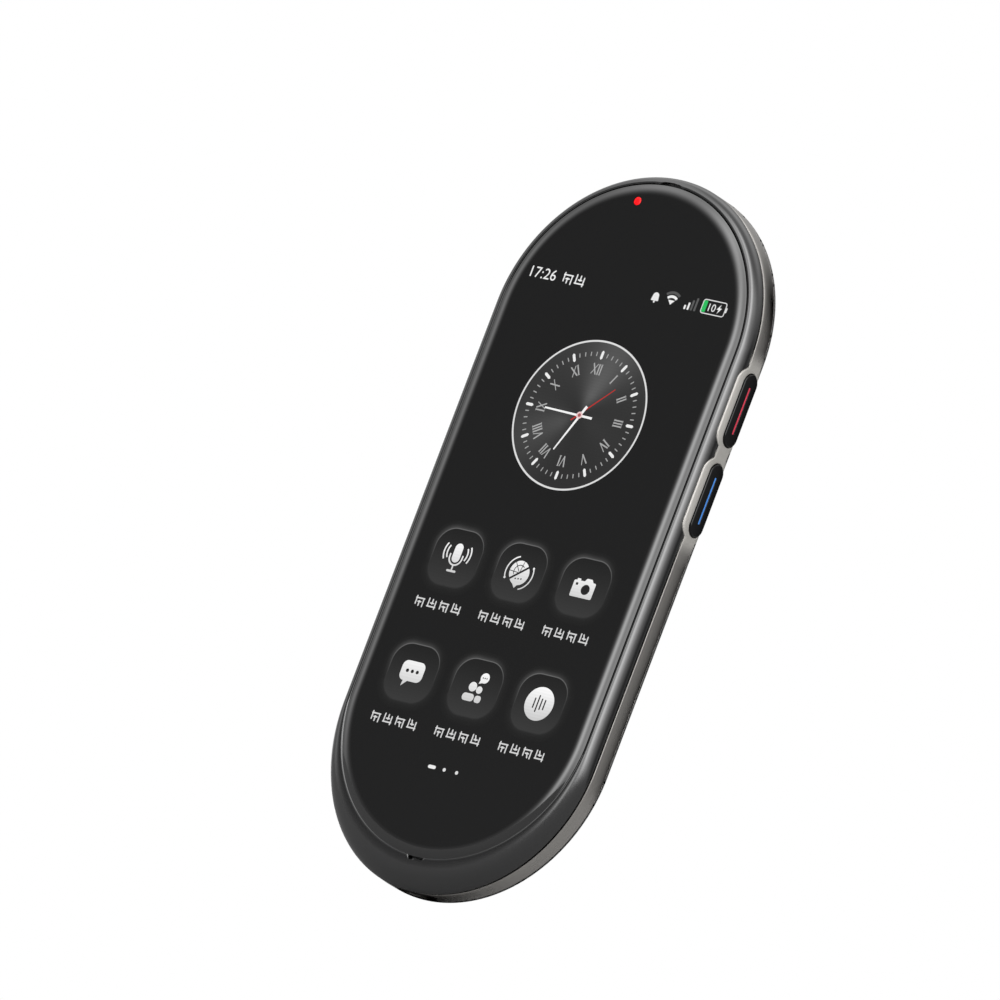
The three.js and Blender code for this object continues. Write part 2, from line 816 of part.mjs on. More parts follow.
// Screen ribbon: leaves the panel's lower edge, passes the plate and lands on the lower board
function makeRibbon() {
  const start = panelFront + panelThickness / 2;
  const landing = boardBack + seatGap + ribbonThickness / 2;
  const edge = panelBottom - seatGap;
  const path = new THREE.CatmullRomCurve3([
    new THREE.Vector3(start, edge, 0),
    new THREE.Vector3(start + ribbonThickness, edge - ribbonDrop / 2, 0),
    new THREE.Vector3((start + landing) / 2, ribbonZ, 0),
    new THREE.Vector3(landing - ribbonThickness, ribbonZ - ribbonThickness, 0),
    new THREE.Vector3(landing, ribbonZ - ribbonDrop, 0),
    new THREE.Vector3(landing, ribbonZ - ribbonDrop - ribbonLanding, 0),
  ]);
  const left = [];
  const right = [];
  for (let step = 0; step <= ribbonSteps; step += 1) {
    const point = path.getPoint(step / ribbonSteps);
    const tangent = path.getTangent(step / ribbonSteps);
    const across = new THREE.Vector2(-tangent.y, tangent.x).setLength(ribbonThickness / 2);
    left.push(new THREE.Vector2(point.x + across.x, point.y + across.y));
    right.push(new THREE.Vector2(point.x - across.x, point.y - across.y));
  }
  return sideSlab(new THREE.Shape([...left, ...right.reverse()]), -ribbonWidth / 2, ribbonWidth);
}

// A screw with its head on the back of a board and its shank in the plate
function makeScrew() {
  const head = boardBack + seamGap;
  const profile = [
    [0, plateFront + seamGap],
    [screwShankRadius, plateFront + seamGap],
    [screwShankRadius, head],
    [screwHeadRadius, head],
    [screwHeadRadius, head + screwHeadHeight],
    [0, head + screwHeadHeight],
  ];
  return turned(profile, screwSides);
}

// A microphone block on the back of a board
function makeBoardMic(x, z) {
  const shape = roundedRect(micLength, micWidth, canEdge);
  return moved(backSlab(shape, boardBack + seatGap, micHeight, inlayGap), x, 0, z);
}

// The side microphone stands on the left strip and reaches the hole in the rail
function makeSideMic() {
  const shape = roundedRect(micWidth, micLength, canEdge);
  const foot = stripFront + seatGap;
  const mic = sideSlab(shape, foot, sideInner - seatGap - foot, inlayGap);
  return atKey(mic, { side: -1, z: sideMicZ });
}

// Places that several pieces share
const lightZ = glassTop - ledgeWidth - lightFromLedge;
const sideMicZ = powerKeyZ - micHoleFromPowerKey;
const usbY = railFront + railHeight / 2;
const usbHalfWidth = usbOpeningWidth / 2 + usbShellWall;
const endSag = sideInner - Math.sqrt(sideInner ** 2 - usbHalfWidth ** 2);
const usbMouth = -halfLength + wall + endSag + seatGap;
const usbEnd = usbMouth + usbShellLength;
const panelBottom = usbEnd + panelAboveSocket;
const ribbonZ = panelBottom - ribbonDrop;
const cameraBore = cameraRingRadius - cameraRingLand - cameraSeatWidth;
const cameraBarrelRadius = cameraBore - cameraBarrelGap;
const cameraWindowBack = cameraRingProud - cameraWindowRecess - cameraWindowThickness;
const cameraBarrelBack = cameraWindowBack - seatGap - cameraBarrelLength;
const speakerMeshY = -coverWall - seatGap - speakerMeshThickness;
const speakerBoxZ = cameraZ + speakerOuterRadius - speakerRowPitch / 2;
const topMicZ = speakerBoxZ + speakerBoxWidth / 2 + topMicGap + micWidth / 2;
const mainCanBottom = cameraZ + cameraModuleSize / 2 + canSpacing;
const mainCanTop = speakerBoxZ - speakerBoxWidth / 2 - mainCanToSpeaker;
const radioCanTop = cameraZ - cameraModuleSize / 2 - canSpacing;
const radioCanBottom = radioCanTop - radioCanLength;
const mainBoardBottom = radioCanBottom - radioCanToBoardEnd;
const lowerBoardBottom = halfWidth - boardHalfWidth - halfLength;
const lowerBoardTop = ribbonZ - ribbonThickness - seatGap;
const lowerMicX = -usbHalfWidth - 2 * seatGap - micLength / 2;
const screwX = boardHalfWidth - screwInset;
const mainCanHalfWidth = screwX - screwHeadRadius - mainCanToScrews;
const radioCanHalfWidth = screwX - screwHeadRadius - radioCanToScrews;
const mainScrews = [-1, 1].flatMap((side) => [
  { x: side * screwX, z: mainBoardBottom + screwInset },
  { x: side * screwX, z: cameraZ + upperScrewAboveCamera },
]);
const lowerScrews = [-1, 1].map((side) => ({ x: side * lowerScrewX, z: lowerBoardTop - screwInset }));
const screwPlaces = [...mainScrews, ...lowerScrews];

// The device as a scene graph
const device = new THREE.Group();
const housing = new THREE.Group();
const keys = new THREE.Group();
const electronics = new THREE.Group();
device.add(housing, keys, electronics);

function add(group, name, solid, material, x = 0, y = 0, z = 0) {
  const mesh = new THREE.Mesh(geometryOf(solid), material);
  mesh.name = name;
  mesh.position.set(x, y, z);
  group.add(mesh);
}

const [redPlace, bluePlace, powerPlace] = keyPlaces;
const [rightStrip, leftStrip] = stripPlaces;

add(housing, 'cover_glass', makeCoverGlass(), glossBlack);
add(housing, 'front_bezel', makeFrontBezel(), bezelGrey);
add(housing, 'mid_frame', makeMidFrame(), railGrey);
add(housing, 'back_cover', makeBackCover(), coverGrey);
add(housing, 'mid_plate', makePlate(), plateSteel);
add(housing, 'status_light', makeStatusLight(), lightRed);
add(housing, 'camera_ring', makeCameraRing(), glossBlack, 0, 0, cameraZ);
add(housing, 'camera_window', makeCameraWindow(), glossBlack, 0, 0, cameraZ);

add(keys, 'talk_button_red', makeKey(redPlace, true), keyBlack);
add(keys, 'talk_button_blue', makeKey(bluePlace, true), keyBlack);
add(keys, 'red_light_bar', makeLine(redPlace), lineRed);
add(keys, 'blue_light_bar', makeLine(bluePlace), lineBlue);
add(keys, 'power_button', makeKey(powerPlace, false), keyRed);
add(keys, 'red_key_switch', makeSwitch(redPlace), steel);
add(keys, 'blue_key_switch', makeSwitch(bluePlace), steel);
add(keys, 'power_key_switch', makeSwitch(powerPlace), steel);
add(keys, 'right_key_board', makeStrip(rightStrip), boardGreen);
add(keys, 'left_key_board', makeStrip(leftStrip), boardGreen);

add(electronics, 'display_panel', makePanel(), screenBlack);
add(electronics, 'display_ribbon', makeRibbon(), ribbonBrown);
add(electronics, 'main_board', makeMainBoard(), boardGreen);
add(electronics, 'lower_board', makeLowerBoard(), boardGreen);
add(electronics, 'processor_shield', makeCan(mainCanHalfWidth, mainCanBottom, mainCanTop), steel);
add(electronics, 'radio_shield', makeCan(radioCanHalfWidth, radioCanBottom, radioCanTop), steel);
add(electronics, 'battery', makeBattery(), cellSilver);
add(electronics, 'camera_module', makeCameraModule(), partBlack, 0, 0, cameraZ);
add(electronics, 'camera_barrel', makeCameraBarrel(), lensBlue, 0, 0, cameraZ);
add(electronics, 'speaker_box', makeSpeakerBox(), partBlack);
add(electronics, 'speaker_mesh', makeSpeakerMesh(), partBlack);
add(electronics, 'usb_shell', makeUsbShell(), steel);
add(electronics, 'usb_tongue', makeUsbTongue(), partBlack);
add(electronics, 'top_microphone', makeBoardMic(0, topMicZ), steel);
add(electronics, 'bottom_microphone', makeBoardMic(lowerMicX, lowerBoardBottom + lowerMicFromEnd), steel);
add(electronics, 'side_microphone', makeSideMic(), steel);
screwPlaces.forEach(({ x, z }, i) => {
  add(electronics, `board_screw_${i + 1}`, makeScrew(), steel, x, 0, z);
});

export default device;
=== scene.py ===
"""Looks of a handheld translator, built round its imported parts.

Sizes are in millimetres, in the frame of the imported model: +Z runs along the device, the screen
faces -Y and the back faces +Y. Meshes are turned into metres when they are made.
"""

import json
import logging
import math
from dataclasses import dataclass, field
from enum import Enum
from functools import partial

import bmesh
import bpy
import numpy as np
from mathutils import Matrix, Vector
from mathutils.geometry import delaunay_2d_cdt


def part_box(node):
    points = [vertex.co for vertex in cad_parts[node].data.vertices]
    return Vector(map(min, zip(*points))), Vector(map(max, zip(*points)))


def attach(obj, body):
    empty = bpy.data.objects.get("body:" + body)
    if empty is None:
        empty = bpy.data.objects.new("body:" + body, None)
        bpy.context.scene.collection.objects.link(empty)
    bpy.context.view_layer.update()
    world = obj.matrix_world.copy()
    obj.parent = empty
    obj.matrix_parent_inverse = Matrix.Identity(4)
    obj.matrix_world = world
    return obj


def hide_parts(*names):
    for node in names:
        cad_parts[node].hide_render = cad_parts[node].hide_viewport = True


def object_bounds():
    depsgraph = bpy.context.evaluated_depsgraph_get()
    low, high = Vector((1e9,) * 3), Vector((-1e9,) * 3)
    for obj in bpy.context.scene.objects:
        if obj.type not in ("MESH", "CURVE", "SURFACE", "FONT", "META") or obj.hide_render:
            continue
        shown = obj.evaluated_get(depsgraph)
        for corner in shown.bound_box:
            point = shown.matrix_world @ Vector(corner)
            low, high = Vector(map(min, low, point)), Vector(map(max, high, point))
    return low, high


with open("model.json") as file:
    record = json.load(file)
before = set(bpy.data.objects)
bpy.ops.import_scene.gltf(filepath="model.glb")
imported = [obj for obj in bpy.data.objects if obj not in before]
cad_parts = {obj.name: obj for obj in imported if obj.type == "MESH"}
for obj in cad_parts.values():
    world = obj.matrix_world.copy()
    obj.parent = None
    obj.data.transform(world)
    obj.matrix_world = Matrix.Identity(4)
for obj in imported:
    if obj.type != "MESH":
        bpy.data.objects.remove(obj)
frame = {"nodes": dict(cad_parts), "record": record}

cad_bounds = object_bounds()
logging.basicConfig(level=logging.INFO, format="%(message)s")
log = logging.getLogger("translator")

Array = np.ndarray
Material = bpy.types.Material
Piece = bpy.types.Object
Socket = bpy.types.NodeSocket
Spot = tuple[float, float]

MM = 0.001
WELD = 0.0015


class Side(Enum):
    """The two long sides of the device."""

    RIGHT = 1
    LEFT = -1


def node_box(name: str) -> tuple[Array, Array]:
    """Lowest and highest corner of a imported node, in millimetres."""
    low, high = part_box(name)
    return np.array(low) / MM, np.array(high) / MM


def smooth_step(value: Array) -> Array:
    """Eased share from 0 to 1: three times the square less twice the cube, of the clipped value."""
    share = np.clip(value, 0.0, 1.0)
    return share * share * (3.0 - 2.0 * share)


# Finishes


class Nodes:
    """Short calls that add shader nodes to one material or world."""

    def __init__(self, owner: bpy.types.ID, output: str = "OutputMaterial") -> None:
        """Empties the owner's node tree and adds its output node.

        Args:
            owner: The material or world.
            output: The output node's type without its ShaderNode prefix.
        """
        owner.use_nodes = True
        self.owner, self.tree = owner, owner.node_tree
        self.tree.nodes.clear()
        self.output = self.add(output)

    def add(self, kind: str, *values: object, **settings: object) -> bpy.types.Node:
        """Adds a node, sets its fields or named inputs, and feeds its first inputs in order.

        Args:
            kind: The node's type without its ShaderNode prefix.
            *values: Sockets or constants for the first inputs.
            **settings: Field or input values; an input's spaces are written as underscores.

        Returns:
            The new node.
        """
        node = self.tree.nodes.new("ShaderNode" + kind)
        for key, value in settings.items():
            if hasattr(node, key):
                setattr(node, key, value)
            else:
                self.feed(node.inputs[key.replace("_", " ")], value)
        for socket, value in zip(node.inputs, values):
            self.feed(socket, value)
        return node

    def feed(self, socket: Socket, value: object) -> None:
        """Links a socket to another node's output, or sets its constant.

        Args:
            socket: The input to feed.
            value: An output socket, a number, or a colour.
        """
        if isinstance(value, Socket):
            self.tree.links.new(value, socket)
        elif socket.type == "RGBA":
            socket.default_value = (*value, 1.0)
        else:
            socket.default_value = value

    def close(self, shader: bpy.types.Node) -> bpy.types.ID:
        """Joins a shader to the output, and hands back the material or world."""
        self.feed(self.output.inputs["Surface"], shader.outputs[0])
        return self.owner

    def place(self) -> Socket:
        """The surface point in the device's own frame, in metres."""
        return self.add("TexCoord").outputs["Object"]

    def math(self, operation: str, *values: object) -> Socket:
        """One arithmetic step on sockets or numbers."""
        return self.add("Math", *values, operation=operation).outputs[0]

    def noise(self, scale: float, stretch: tuple = (1.0, 1.0, 1.0), detail: float = 3.0) -> Socket:
        """Noise from 0 to 1, given its waves per metre, its stretch along each axis, and its octaves."""
        mapped = self.add("Mapping", Vector=self.place(), Scale=stretch)
        return self.add("TexNoise", Vector=mapped.outputs[0], Scale=scale, Detail=detail).outputs[0]

    def ramp(self, value: Socket, low: float, high: float) -> Socket:
        """Maps a share from 0 to 1 onto low to high."""
        return self.add("MapRange", Value=value, To_Min=low, To_Max=high).outputs[0]

    def blend(self, share: object, first: object, second: object) -> Socket:
        """Mixes two colours.

        Args:
            share: 0 for the first colour, 1 for the second.
            first: Colour or socket.
            second: Colour or socket.

        Returns:
            The mixed colour's socket.
        """
        node = self.add("Mix", data_type="RGBA")
        for index, value in ((0, share), (6, first), (7, second)):
            self.feed(node.inputs[index], value)
        return node.outputs[2]

    def bump(self, height: Socket, depth: float) -> Socket:
        """Bump normal of a height whose full depth is given in millimetres, at half strength."""
        return self.add("Bump", Height=height, Strength=0.5, Distance=depth * MM).outputs[0]


def scaled(colour: tuple, factor: float) -> tuple:
    """A colour with each channel multiplied."""
    return tuple(min(1.0, channel * factor) for channel in colour)


@dataclass(frozen=True)
class Finish:
    """A surface finish with fine grain in its colour, roughness and height.

    The grain is noise in the device's own frame. Its stretch makes brushed or drawn surfaces.
    """

    name: str
    colour: tuple
    roughness: float
    metallic: float = 0.0
    specular: float = 0.5
    coat: float = 0.0
    coat_roughness: float = 0.08
    grain_scale: float = 900.0
    grain_stretch: tuple = (1.0, 1.0, 1.0)
    grain_colour: float = 0.08
    grain_roughness: float = 0.06
    grain_depth: float = 0.004
    glow: float = 0.0

    def surface(self, nodes: Nodes) -> bpy.types.Node:
        """Adds the shader of this finish.

        Args:
            nodes: The material under construction.

        Returns:
            The Principled node.
        """
        fine = nodes.noise(self.grain_scale, self.grain_stretch)
        wide = nodes.noise(self.grain_scale * 0.05, detail=4.0)
        spread = nodes.math("MULTIPLY", nodes.math("ADD", fine, wide), 0.5)
        dark, pale = (scaled(self.colour, 1.0 + change) for change in (-self.grain_colour, self.grain_colour))
        low, high = self.roughness - self.grain_roughness, self.roughness + self.grain_roughness
        light = {"Emission_Color": self.colour, "Emission_Strength": self.glow} if self.glow > 0.0 else {}
        return nodes.add(
            "BsdfPrincipled",
            Base_Color=nodes.blend(spread, dark, pale),
            Roughness=nodes.ramp(spread, low, high),
            Metallic=self.metallic,
            Normal=nodes.bump(fine, self.grain_depth),
            Specular_IOR_Level=self.specular,
            Coat_Weight=self.coat,
            Coat_Roughness=self.coat_roughness,
            **light,
        )

    def build(self) -> Material:
        """Makes the material."""
        nodes = Nodes(bpy.data.materials.new(self.name))
        return nodes.close(self.surface(nodes))


@dataclass(frozen=True)
class RailFinish(Finish):
    """Drawn metal that is paler and duller round the keys, where the mesh's own share says so."""

    pale: tuple = (0.45, 0.437, 0.41)
    pale_metallic: float = 0.3
    pale_roughness: float = 0.42

    def surface(self, nodes: Nodes) -> bpy.types.Node:
        """Adds the drawn metal and blends the paler finish over it.

        Args:
            nodes: The material under construction.

        Returns:
            The Principled node.
        """
        shader = super().surface(nodes)
        share = nodes.add("Attribute", attribute_name="pale").outputs["Fac"]
        base, rough = shader.inputs["Base Color"], shader.inputs["Roughness"]
        nodes.feed(base, nodes.blend(share, base.links[0].from_socket, self.pale))
        nodes.feed(shader.inputs["Metallic"], nodes.ramp(share, self.metallic, self.pale_metallic))
        drawn = rough.links[0].from_socket
        nodes.feed(rough, nodes.math("MAXIMUM", drawn, nodes.math("MULTIPLY", share, self.pale_roughness)))
        return shader


@dataclass(frozen=True)
class CoverFinish(Finish):
    """Satin paint with painted shade on one side of each dimple, where the mesh's own share says so."""

    # Colour of the painted shade in the dimples.
    dark: tuple = (0.012, 0.012, 0.012)

    def surface(self, nodes: Nodes) -> bpy.types.Node:
        """Adds the paint and blends the painted shade on one side of the dimples over it.

        Args:
            nodes: The material under construction.

        Returns:
            The Principled node.
        """
        shader = super().surface(nodes)
        # Painted shade: the mesh's share of dark colour in each dimple.
        share = nodes.add("Attribute", attribute_name="painted_pit_shade").outputs["Fac"]
        base = shader.inputs["Base Color"]
        nodes.feed(base, nodes.blend(share, base.links[0].from_socket, self.dark))
        return shader


# Meshes


def placed(name: str, mesh: bpy.types.Mesh, material: Material) -> Piece:
    """Puts a mesh into the scene as an object with a finish.

    Args:
        name: The object's name.
        mesh: Its mesh.
        material: Its finish.

    Returns:
        The object.
    """
    mesh.materials.append(material)
    piece = bpy.data.objects.new(name, mesh)
    bpy.context.scene.collection.objects.link(piece)
    return piece


def turn_outwards(mesh: bpy.types.Mesh, weld: float = 0.0) -> None:
    """Turns a mesh's faces outwards, after welding its points where a distance is given.

    Args:
        mesh: The mesh.
        weld: Points closer than this become one, in metres.
    """
    work = bmesh.new()
    work.from_mesh(mesh)
    if weld > 0.0:
        bmesh.ops.remove_doubles(work, verts=work.verts, dist=weld)
        bmesh.ops.dissolve_degenerate(work, edges=work.edges, dist=weld * 0.5)
    bmesh.ops.recalc_face_normals(work, faces=work.faces)
    work.to_mesh(mesh)
    work.free()
@dataclass
class Shell:
    """Points and faces of one piece while it is worked out, in millimetres."""

    points: list = field(default_factory=list)
    faces: list = field(default_factory=list)
    count: int = 0

    def add(self, points: Array, faces: list) -> Array:
        """Adds points and the faces between them.

        Args:
            points: Array of N rows of x, y and z.
            faces: Lists of indices into these points.

        Returns:
            The indices of the added points in the whole shell.
        """
        start = self.count
        self.points.append(np.asarray(points, float).reshape(-1, 3))
        self.faces.extend([tuple(int(i) + start for i in face) for face in faces])
        self.count += len(self.points[-1])
        return np.arange(start, self.count)

    def grid(self, surface: Array, wrap_rows: bool, wrap_columns: bool, keep: Array | None = None) -> None:
        """Adds a surface given as a grid of points, with one quad between four neighbours.

        Args:
            surface: Array of rows by columns by 3.
            wrap_rows: True if the last row joins the first.
            wrap_columns: True if the last column joins the first.
            keep: Optional mask of the quads to make, of rows by columns.
        """
        rows, columns = surface.shape[:2]
        index = np.arange(rows * columns).reshape(rows, columns)
        right, below = np.roll(index, -1, 1), np.roll(index, -1, 0)
        quads = np.stack([index, right, np.roll(right, -1, 0), below], -1)
        made = np.ones((rows, columns), bool) if keep is None else keep.copy()
        made[rows if wrap_rows else rows - 1:] = False
        made[:, columns if wrap_columns else columns - 1:] = False
        self.add(surface.reshape(-1, 3), quads[made].tolist())

    def make(self, name: str, material: Material, angle: float = 32.0) -> Piece:
        """Welds the shell, turns its faces outwards and makes the object.

        Args:
            name: The piece's name.
            material: Its finish.
            angle: Edges sharper than this many degrees stay sharp.

        Returns:
            The new object.
        """
        mesh = bpy.data.meshes.new(name)
        mesh.from_pydata((np.concatenate(self.points) * MM).tolist(), [], self.faces)
        turn_outwards(mesh, WELD * MM)
        mesh.polygons.foreach_set("use_smooth", np.ones(len(mesh.polygons), bool))
        mesh.set_sharp_from_angle(angle=math.radians(angle))
        return placed(name, mesh, material)


def seat(piece: Piece, body: str, slot: str, *stands_for: str) -> Piece:
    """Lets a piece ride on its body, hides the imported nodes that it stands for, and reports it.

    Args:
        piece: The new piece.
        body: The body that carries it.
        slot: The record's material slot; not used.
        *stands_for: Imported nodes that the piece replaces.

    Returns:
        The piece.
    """
    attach(piece, body)
    if stands_for:
        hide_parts(*stands_for)
    log.info("%s rides on %s: %d faces", piece.name, body, len(piece.data.polygons))
    return piece


def closed_edges(loop: list) -> list:
    """Pairs of neighbours along a closed loop."""
    return list(zip(loop, loop[1:] + loop[:1]))


def triangulated(loops: list[Array], extra: Array | tuple = ()) -> tuple[Array, Array, list]:
    """Triangles of a flat region bounded by closed loops.

    Args:
        loops: Closed outlines in the plane; the first is the outer one and the rest lie inside it.
        extra: Further points inside, which make the triangles finer.

    Returns:
        The points, the triangles, and for each loop the indices of its points.
    """
    ends = np.cumsum([0] + [len(loop) for loop in loops]).tolist()
    spans = [list(range(start, end)) for start, end in zip(ends, ends[1:])]
    edges = [pair for span in spans for pair in closed_edges(span)]
    plane = [Vector(p) for part in (*loops, extra) for p in part]
    points, _, faces, origin, _, _ = delaunay_2d_cdt(plane, edges, [], 1, 1e-6)
    lookup = {old: new for new, olds in enumerate(origin) for old in olds}
    at = [[lookup[i] for i in span] for span in spans]
    return np.array([(p.x, p.y) for p in points]), np.array([f for f in faces if len(f) == 3]), at


def circle(radius: float, sides: int, centre: tuple = (0.0, 0.0)) -> Array:
    """Points of a circle: the cosine and sine of even angles, times the radius."""
    angle = np.linspace(0.0, 2.0 * math.pi, sides, endpoint=False)
    return np.stack([centre[0] + radius * np.cos(angle), centre[1] + radius * np.sin(angle)], 1)


def distances(one: Array, other: Array) -> Array:
    """Distance of each point of one set from each point of another, in rows by columns."""
    return np.hypot(one[:, None, 0] - other[:, 0], one[:, None, 1] - other[:, 1])


# The body's outline and what lets into its side


@dataclass(frozen=True)
class KeyPlace:
    """Where a side key sits, and how long it is."""

    name: str
    side: Side
    z: float
    length: float


@dataclass(frozen=True)
class Hole:
    """A hole through the side wall with round ends, long across the outline and low along Y."""

    half_length: float
    half_height: float
    y: float

    def half_at(self, across: Array, grow: float) -> Array:
        """Half the hole's height at a distance from its middle, 0 outside.

        The middle is straight, and each end is a half circle: the root of the radius squared
        less the distance into the end squared.

        Args:
            across: Distance from the hole's middle along the outline.
            grow: Added all round.

        Returns:
            The half height.
        """
        radius = self.half_height + grow
        into_end = np.clip(np.abs(across) - (self.half_length - self.half_height), 0.0, None)
        return np.sqrt(np.clip(radius * radius - into_end * into_end, 0.0, None))


@dataclass
class Outline:
    """The pill outline that every shell of the body follows, as columns once round it.

    A column has an angle and the height of the circle centre that it belongs to. The angle stays
    0 or half a turn along the straight sides, where the centre's height runs instead.
    """

    half_width: float
    half_length: float
    keys: list[KeyPlace]
    key_y: float
    island_half_height: float
    island_reach: float
    island_corner: float
    usb: Hole
    mic_z: float
    mic_radius: float
    key_hole_half_height: float
    key_hole_gap: float
    arc_steps: int = 84
    straight_step: float = 2.4
    fine_step: float = 0.22
    least_step: float = 0.035

    def __post_init__(self) -> None:
        """Works out the columns."""
        self.centre = self.half_length - self.half_width
        right = self._heights(Side.RIGHT)
        left = self._heights(Side.LEFT)
        top = self._arc_angles(np.array([self._angle_at(z) for z in left if z > self.centre]))
        usb_reach = self.usb.half_length + 0.3
        around_usb = np.linspace(-usb_reach, usb_reach, 60)
        bottom = math.pi + self._arc_angles(np.arccos(-around_usb / self.half_width))
        left_straight = left[left <= self.centre][::-1]
        self.angle = np.concatenate([np.zeros(len(right)), top, np.full(len(left_straight), math.pi), bottom])
        self.middle = np.concatenate(
            [right, np.full(len(top), self.centre), left_straight, np.full(len(bottom), -self.centre)]
        )
        x, z = self.half_width * np.cos(self.angle), self.middle + self.half_width * np.sin(self.angle)
        self.x, self.z = x, z
        self.side = np.where(x > 0, 1, -1)

    def _angle_at(self, z: float) -> float:
        """Angle on the left end of the top arc at a height above the arc's centre."""
        return math.pi - math.asin((z - self.centre) / self.half_width)

    def _arc_angles(self, fine: Array) -> Array:
        """Even angles over half a turn with finer ones added, without close pairs.

        Args:
            fine: The added angles.

        Returns:
            Sorted angles strictly between 0 and half a turn.
        """
        even = np.linspace(0.0, math.pi, self.arc_steps)[1:-1]
        if len(fine):
            clear = (even < fine.min() - 0.01) | (even > fine.max() + 0.01)
            even = even[clear]
        both = np.sort(np.concatenate([even, fine]))
        return both[(both > 1e-4) & (both < math.pi - 1e-4)]

    def _heights(self, side: Side) -> Array:
        """Heights of the columns along one side: even ones, and fine ones round its keys.

        Args:
            side: Which side.

        Returns:
            Sorted heights, with both ends of the straight side.
        """
        heights = [np.arange(-self.centre, self.centre, self.straight_step), [self.centre]]
        for key in self.keys:
            if key.side is side:
                reach = key.length / 2 + self.island_reach + 0.5
                half_length = key.length / 2 + self.key_hole_gap
                heights.append(np.arange(key.z - reach, key.z + reach, self.fine_step))
                heights.append(self._hole_ends(key.z, half_length, self.key_hole_half_height))
        if side is Side.LEFT:
            heights.append(self._hole_ends(self.mic_z, self.mic_radius, self.mic_radius))
        merged = np.unique(np.round(np.concatenate(heights), 4))
        spread = [merged[0]]
        for z in merged[1:]:
            if z - spread[-1] > self.least_step or z == self.centre:
                spread.append(z)
        return np.array(spread)

    @staticmethod
    def _hole_ends(middle: float, half_length: float, radius: float) -> Array:
        """Heights that sample both round ends of a hole evenly along their curve, and one beyond each end."""
        into = half_length - radius * (1.0 - np.cos(np.linspace(0.0, math.pi / 2, 9)))
        beyond = half_length + 0.12
        return np.concatenate([middle - into, middle + into, [middle - beyond, middle + beyond]])

    def at(self, inset: Array, shift: Array | float = 0.0) -> tuple[Array, Array]:
        """X and Z of the outline drawn in: the angle's cosine and sine times what is left of the width."""
        radius = self.half_width - inset
        return radius * np.cos(self.angle), self.middle + shift + radius * np.sin(self.angle)

    def island_half(self, grow: float) -> Array:
        """Half the height of the key island at each column, 0 where there is none.

        An island is a rectangle with round corners: its end falls as the root of the corner
        radius squared less the distance into the corner squared.

        Args:
            grow: Added all round.

        Returns:
            The half height at each column.
        """
        half = np.zeros_like(self.z)
        corner = self.island_corner + grow
        for key in self.keys:
            across = np.abs(self.z - key.z)
            end = key.length / 2 + self.island_reach + grow
            into = np.clip(across - (end - corner), 0.0, None)
            bend = np.sqrt(np.clip(corner**2 - into**2, 0.0, None))
            height = self.island_half_height + grow - corner + bend
            inside = (self.side == key.side.value) & (across < end) & (self.z > -self.centre)
            half = np.maximum(half, np.where(inside, height, 0.0))
        return half

    def island_gap(self) -> Array:
        """Distance of each column from the nearest key island, 0 inside it.

        Returns:
            The distances.
        """
        gap = np.full_like(self.z, 99.0)
        for key in self.keys:
            away = np.abs(self.z - key.z) - key.length / 2 - self.island_reach
            gap = np.where(self.side == key.side.value, np.minimum(gap, np.clip(away, 0.0, None)), gap)
        return gap

    def front_edge(self, line: float, grow: float) -> Array:
        """Y of the edge between the bezel and the frame: the lesser of the line and the island's front."""
        return np.minimum(line, self.key_y - self.island_half(grow))

    def back_edge(self, line: float, grow: float) -> Array:
        """Y of the edge between the frame and the cover: the greater of the line and the island's back."""
        return np.maximum(line, self.key_y + self.island_half(grow))

    def holes(self, grow: float) -> tuple[Array, Array, Array]:
        """What the holes of the frame take at each column.

        Args:
            grow: Added all round the holes.

        Returns:
            Half the hole's height, the distance from the nearest hole's end, and the holes' middle Y.
        """
        half = np.zeros_like(self.z)
        gap = np.full_like(self.z, 99.0)
        gap_round, high = self.key_hole_gap, self.key_hole_half_height
        holes = [(key.length / 2 + gap_round, high, key.z, key.side) for key in self.keys]
        holes.append((self.mic_radius, self.mic_radius, self.mic_z, Side.LEFT))
        for half_length, half_height, middle, side in holes:
            hole, across = Hole(half_length, half_height, self.key_y), self.z - middle
            mine = (self.side == side.value) & (np.abs(self.z) < self.half_length * 0.75)
            half = np.where(mine, np.maximum(half, hole.half_at(across, grow)), half)
            gap = np.where(mine, np.minimum(gap, np.abs(across) - half_length), gap)
        low = self.z < -self.centre - 5.0
        half = np.where(low, self.usb.half_at(self.x, grow), half)
        gap = np.where(low, np.abs(self.x) - self.usb.half_length, gap)
        share = smooth_step((-self.centre - self.z) / (self.half_width - 6.0))
        return half, gap, self.key_y + (self.usb.y - self.key_y) * share


# Housing


